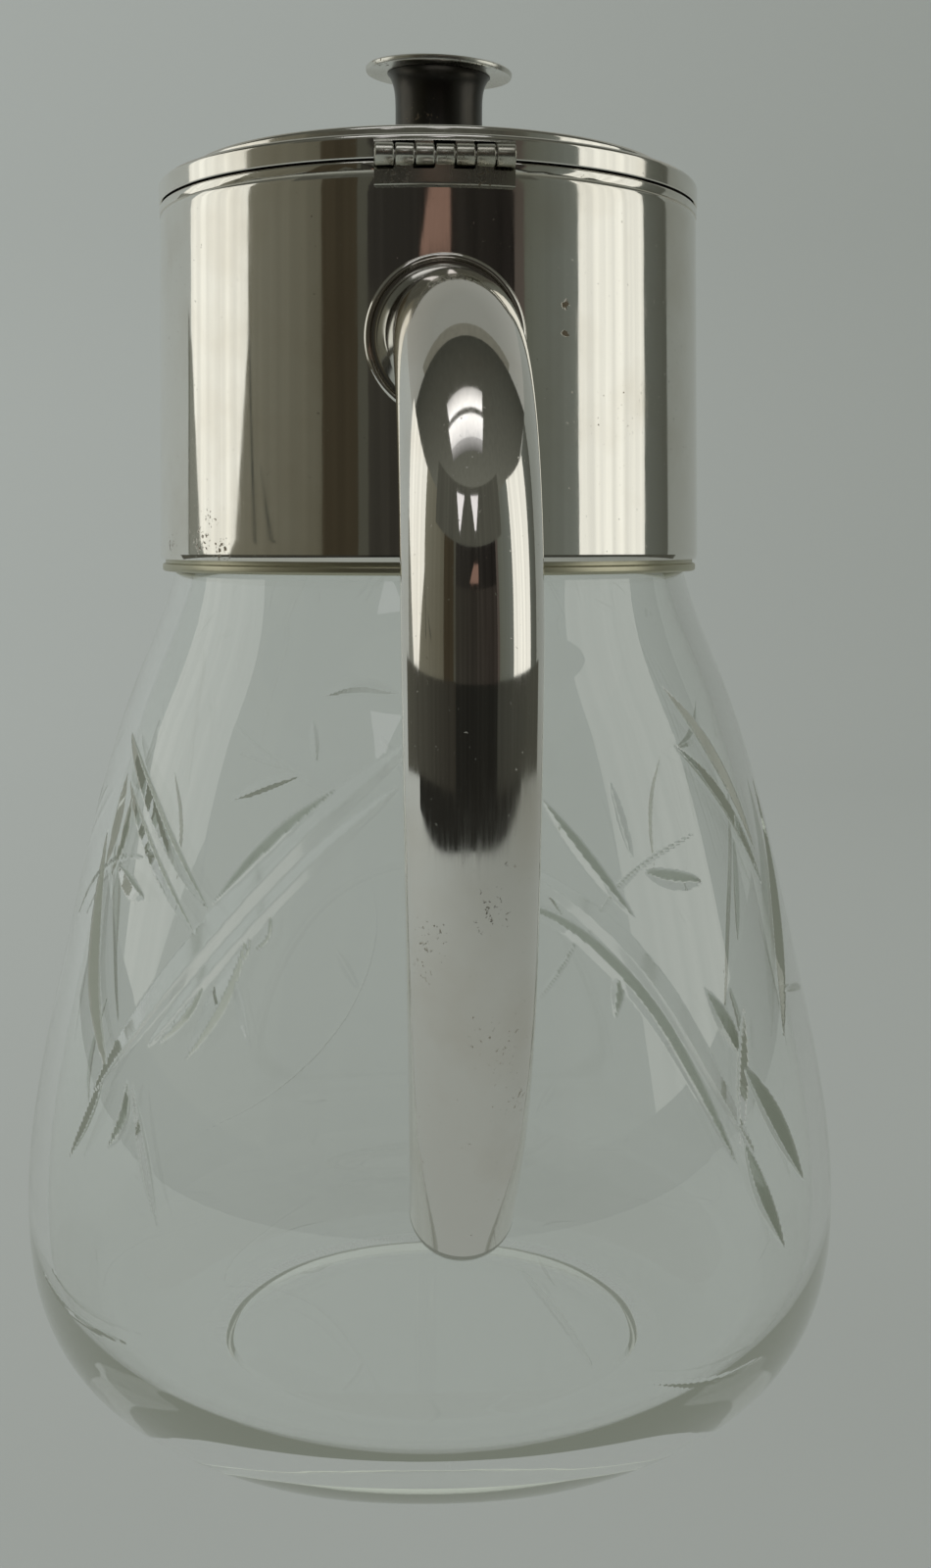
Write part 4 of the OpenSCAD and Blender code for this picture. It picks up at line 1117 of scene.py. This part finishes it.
# ------------------------------------------------------------------ hinge
# Two small plated leaves, one let into the lid's band and one into the collar, with seven
# knuckles between them on a plain pin. They are filed to the collar's curve and soldered in.
HINGE_Y = -49.4
HINGE_Z = 222.5
KNUCKLES = 7
KNUCKLE_R = 1.75
KNUCKLE_GAP = 0.2
KNUCKLE_ROOM = 0.3
PIN_HOLE_R = 0.85
LEAF_FACE_R = 50.1
LEAF_BACK = 46.75
LEAF_ROUND = 0.5


def knuckle(k):
    """Knuckle k as a short barrel with a bore, its ends turned round."""
    half = (HINGE_W / KNUCKLES - KNUCKLE_GAP) / 2
    line = [(PIN_HOLE_R, -half, 0), (KNUCKLE_R, -half, 0.25), (KNUCKLE_R, half, 0.25), (PIN_HOLE_R, half, 0)]
    piece = turned("knuckle", rounded(line, steps=4), 48)
    middle = Vector(((k + 0.5) * HINGE_W / KNUCKLES - HINGE_W / 2, HINGE_Y, HINGE_Z)) * MM
    piece.data.transform(Matrix.Translation(middle) @ Matrix.Rotation(math.pi / 2, 4, "Y"))
    return piece


def filed_leaf(low, high, first):
    """A leaf with its face filed to the collar's curve and its upper edge rounded. It is
    hollowed round the other leaf's knuckles, those at odd steps from the number first."""
    columns = 12 * KNUCKLES
    wide = columns + 1
    straight = high - LEAF_ROUND
    profile = [(0.12, low), (0.03, low + 0.1)]
    profile += [(0, low + 0.2 + (straight - low - 0.2) * k / 12) for k in range(13)]
    profile += [(LEAF_ROUND - t[0], t[1]) for t in arc(0, straight, LEAF_ROUND, 15, 90, 5)]
    verts = []
    for tuck, z in profile:
        for back in (0, 1):
            for j in range(wide):
                x = HINGE_W * (j / columns - 0.5)
                reach = LEAF_BACK if back else math.sqrt(LEAF_FACE_R**2 - x * x) - tuck
                room = KNUCKLE_R + KNUCKLE_ROOM
                of_other = (min(j // 12, KNUCKLES - 1) - first) % 2 == 1
                if of_other and not back and abs(z - HINGE_Z) < room:
                    reach = min(reach, -HINGE_Y - math.sqrt(room**2 - (z - HINGE_Z) ** 2))
                verts.append((x * MM, -reach * MM, z * MM))
    faces = []
    for i in range(len(profile) - 1):
        front = 2 * i * wide
        for side in (front, front + wide):
            for j in range(side, side + columns):
                faces.append((j, j + 1, j + 1 + 2 * wide, j + 2 * wide))
        for j in (front, front + columns):
            faces.append((j, j + 2 * wide, j + 3 * wide, j + wide))
    for front in (0, 2 * (len(profile) - 1) * wide):
        for j in range(front, front + columns):
            faces.append((j, j + 1, j + 1 + wide, j + wide))
    piece = new_piece("leaf", verts, faces, 30)
    face_outward(piece)
    return piece


def one_piece(name, parts):
    """These parts as one object, in the place of the separate ones."""
    work = bmesh.new()
    for part in parts:
        work.from_mesh(part.data)
        bpy.data.objects.remove(part)
    whole = new_piece(name, [], [])
    work.to_mesh(whole.data)
    work.free()
    return whole


HINGE_SPOTS = [(-8, -50, 220, 4, 0.14), (6, -50, 219, 4, 0.14), (2, -51, 222, 3, 0.12)]
hinge_plate = wiped_metal("hinge_plate", (0.58, 0.57, 0.51), (0.33, 0.31, 0.24), 0.20, 0.9, HINGE_SPOTS)
for body, node, low, high, first in (
    ("jug", "hinge_collar_leaf", HINGE_LEAF_Z, COLLAR_TOP, 1),
    ("lid", "hinge_lid_leaf", LID_Z, LEAF_TOP, 0),
):
    parts = [filed_leaf(low, high, first)] + [knuckle(k) for k in range(first, KNUCKLES, 2)]
    leaf = one_piece(node + "_filed", parts)
    leaf.data.materials.append(hinge_plate)
    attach(leaf, body)
    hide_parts(node)
dress("hinge_pin", satin_silver)

# ------------------------------------------------------------------ handle
# The handle is a hollow tube, drawn to swell towards the grip and bent over a former. It
# springs from a boss on a round plate edged with wire, soldered to the collar, and hangs
# clear of the glass. A domed cap closes its free end, with a fine seam between the two.
ROOT_Z = 195.1
BOSS_H = 3.2
BOW_DROP = 51.4
BOW_PULL = 0.66
STRAIGHT = 28.0
CURL_DROP = 51.7
CURL_PULL = 0.5
TIP_PULL = 0.28
CURL_ANGLE = math.radians(38)
ROOT_R = 7.9
GRIP_R = 9.4
END_R = 7.8
STAND_OFF = 1.8
TUBE_T = 1.2
SWELL_END = 0.2
GRIP_END = 0.45
TAPER = 1.5

root_out = sleeve_radius(ROOT_Z) + BOSS_H
run_out = -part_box("handle_tube")[0].y / MM - GRIP_R
run_high = ROOT_Z - BOW_DROP
run_low = run_high - STRAIGHT
end_z = run_low - CURL_DROP
end_out = float(np.interp(end_z, OUTSIDE[::-1, 1], OUTSIDE[::-1, 0])) + STAND_OFF + END_R
END_WAY = np.array([-math.sin(CURL_ANGLE), -math.cos(CURL_ANGLE)])


def bend(a, b, c, d, count):
    """Points along one bend of the tube's middle line, drawn by its four guide points."""
    t = np.linspace(0, 1, count)[:, None]
    return (1 - t) ** 3 * a + 3 * (1 - t) ** 2 * t * b + 3 * (1 - t) * t**2 * c + t**3 * d


def handle_line(count):
    """The tube's middle line as that many (out, height) points, evenly spaced."""
    root = np.array([root_out, ROOT_Z])
    high = np.array([run_out, run_high])
    low = np.array([run_out, run_low])
    end = np.array([end_out, end_z])
    curl = np.linalg.norm(end - low)
    along = np.array([1.0, 0.0])
    down = np.array([0.0, -1.0])
    root_pull = BOW_PULL * (run_out - root_out) * along
    bow = bend(root, root + root_pull, high - BOW_PULL * BOW_DROP * down, high, 400)
    tail = bend(low, low + CURL_PULL * curl * down, end - TIP_PULL * curl * END_WAY, end, 400)
    return spaced(np.vstack([bow, np.linspace(high, low, 100)[1:], tail[1:]]), count)


def tube_radius(share):
    """The tube's radius at that share of its length."""
    if share < SWELL_END:
        return ROOT_R + (GRIP_R - ROOT_R) * math.sin(math.pi / 2 * share / SWELL_END)
    if share < GRIP_END:
        return GRIP_R
    return GRIP_R + (END_R - GRIP_R) * ((share - GRIP_END) / (1 - GRIP_END)) ** TAPER


def drawn_tube(name):
    """The handle's tube with its bore, its two ends cut square."""
    rings = 220
    sides = 64
    spine = handle_line(rings)
    ways = np.gradient(spine, axis=0)
    ways /= np.linalg.norm(ways, axis=1)[:, None]
    ways[0] = (1, 0)
    ways[-1] = END_WAY
    verts = []
    for inset in (0, TUBE_T):
        for k in range(rings):
            r = tube_radius(k / (rings - 1)) - inset
            for j in range(sides):
                turn = 2 * math.pi * j / sides
                out = r * math.cos(turn)
                y = -(spine[k][0] - ways[k][1] * out)
                verts.append((r * math.sin(turn) * MM, y * MM, (spine[k][1] + ways[k][0] * out) * MM))
    back = rings * sides
    faces = []
    for k in range(rings - 1):
        for j in range(sides):
            a, b = k * sides + j, k * sides + (j + 1) % sides
            faces.append((a, b, b + sides, a + sides))
            faces.append((a + back, a + sides + back, b + sides + back, b + back))
    for first in (0, (rings - 1) * sides):
        for j in range(sides):
            a, b = first + j, first + (j + 1) % sides
            faces.append((a, b, b + back, a + back))
    piece = new_piece(name, verts, faces, 40)
    face_outward(piece)
    return piece


tube = drawn_tube("handle_tube_drawn")
HANDLE_SPOTS = [
    (-5.9, -112.1, 111.7, 5, 0.12), (-7.1, -110.4, 107.4, 4, 0.12), (3.1, -111.9, 97.7, 6, 0.12),
    (2.2, -114.1, 115.9, 4, 0.11), (6.6, -107.5, 88, 4, 0.15),
]
handle_plate = wiped_metal(
    "handle_plate", (0.85, 0.825, 0.785), (0.70, 0.63, 0.54), 0.03, 0.5, HANDLE_SPOTS, (0.5, 0.46, 0.39)
)
tube.data.materials.append(handle_plate)
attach(tube, "jug")
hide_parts("handle_tube")

CAP_H = 6.4
CAP_SPIGOT = 4.0
CAP_SPIGOT_R = 6.2
cap_line = [(0, -CAP_SPIGOT, 0), (CAP_SPIGOT_R, -CAP_SPIGOT, 0), (CAP_SPIGOT_R, 0, 0)]
cap_line += [(END_R - 0.35, 0.0, 0), (END_R - 0.1, 0.12, 0), (END_R, 0.4, 0)]
for k in range(2, 15):
    cap_line.append((END_R * math.cos(math.pi / 2 * k / 14), CAP_H * math.sin(math.pi / 2 * k / 14), 0))
cap = turned("handle_end_cap_domed", rounded(cap_line), 96)
tip = Matrix.Translation(Vector((0, -end_out, end_z)) * MM)
cap.data.transform(tip @ Matrix.Rotation(math.atan2(END_WAY[0], END_WAY[1]), 4, "X"))
CAP_SPOTS = [(0, -85, 58, 8, 0.13)]
# The cap's plate is much darker than the tube's: painted shade for the glass and shaded paper that its
# downturned dome mirrors, under real wear and pits.
cap_plate_and_shade = wiped_metal("cap_plate_and_shade", (0.50, 0.50, 0.45), (0.30, 0.29, 0.24), 0.10, 0.9, CAP_SPOTS)
cap.data.materials.append(cap_plate_and_shade)
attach(cap, "jug")
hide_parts("handle_end_cap")

FLANGE_R = 12.95
FLANGE_SINK = 0.5
FLANGE_T = 1.3
WIRE_W = 1.0
WIRE_H = 1.9


def on_collar(piece, flat_from):
    """Bends a piece that was turned about its own axis onto the collar at the handle's root.
    Its points above flat_from, in mm, go over from the collar's curve to a flat face."""
    for point in piece.data.vertices:
        x, side, rise = (c / MM for c in point.co)
        share = min(max((rise - flat_from) / (BOSS_H - flat_from), 0), 1) if flat_from < BOSS_H else 0
        z = ROOT_Z + side - FLANGE_SINK * (1 - share)
        curve = math.sqrt(sleeve_radius(z) ** 2 - x * x)
        level = sleeve_radius(ROOT_Z)
        point.co = Vector((x, -(curve * (1 - share) + level * share + rise), z)) * MM
    face_outward(piece)
    return piece


plate_line = [
    (0, 0.02, 0), (FLANGE_R - WIRE_W, 0.02, 0), (FLANGE_R - WIRE_W, FLANGE_T - 0.3, 0.2),
    (11.2, FLANGE_T - 0.4, 1.0), (9.6, FLANGE_T + 0.4, 1.2), (8.5, BOSS_H - 0.3, 0.3), (8.3, BOSS_H, 0),
    (0, BOSS_H, 0),
]
flange = on_collar(turned("handle_flange_plate", rounded(plate_line), 96), FLANGE_T)
flange.data.materials.append(wiped_metal("flange_plate", (0.60, 0.585, 0.54), (0.36, 0.33, 0.27), 0.10, 0.8))
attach(flange, "jug")
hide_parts("handle_flange")

wire_line = [
    (FLANGE_R - WIRE_W, 0.02, 0), (FLANGE_R, 0.02, 0), (FLANGE_R, WIRE_H, 0.48),
    (FLANGE_R - WIRE_W, WIRE_H, 0.48),
]
wire = on_collar(turned("handle_flange_wire_round", rounded(wire_line), 96), 99)
wire.data.materials.append(handle_plate)
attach(wire, "jug")
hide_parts("handle_flange_wire")
soften("handle_backing_plate", 0.15)
dress("handle_backing_plate", satin_silver)
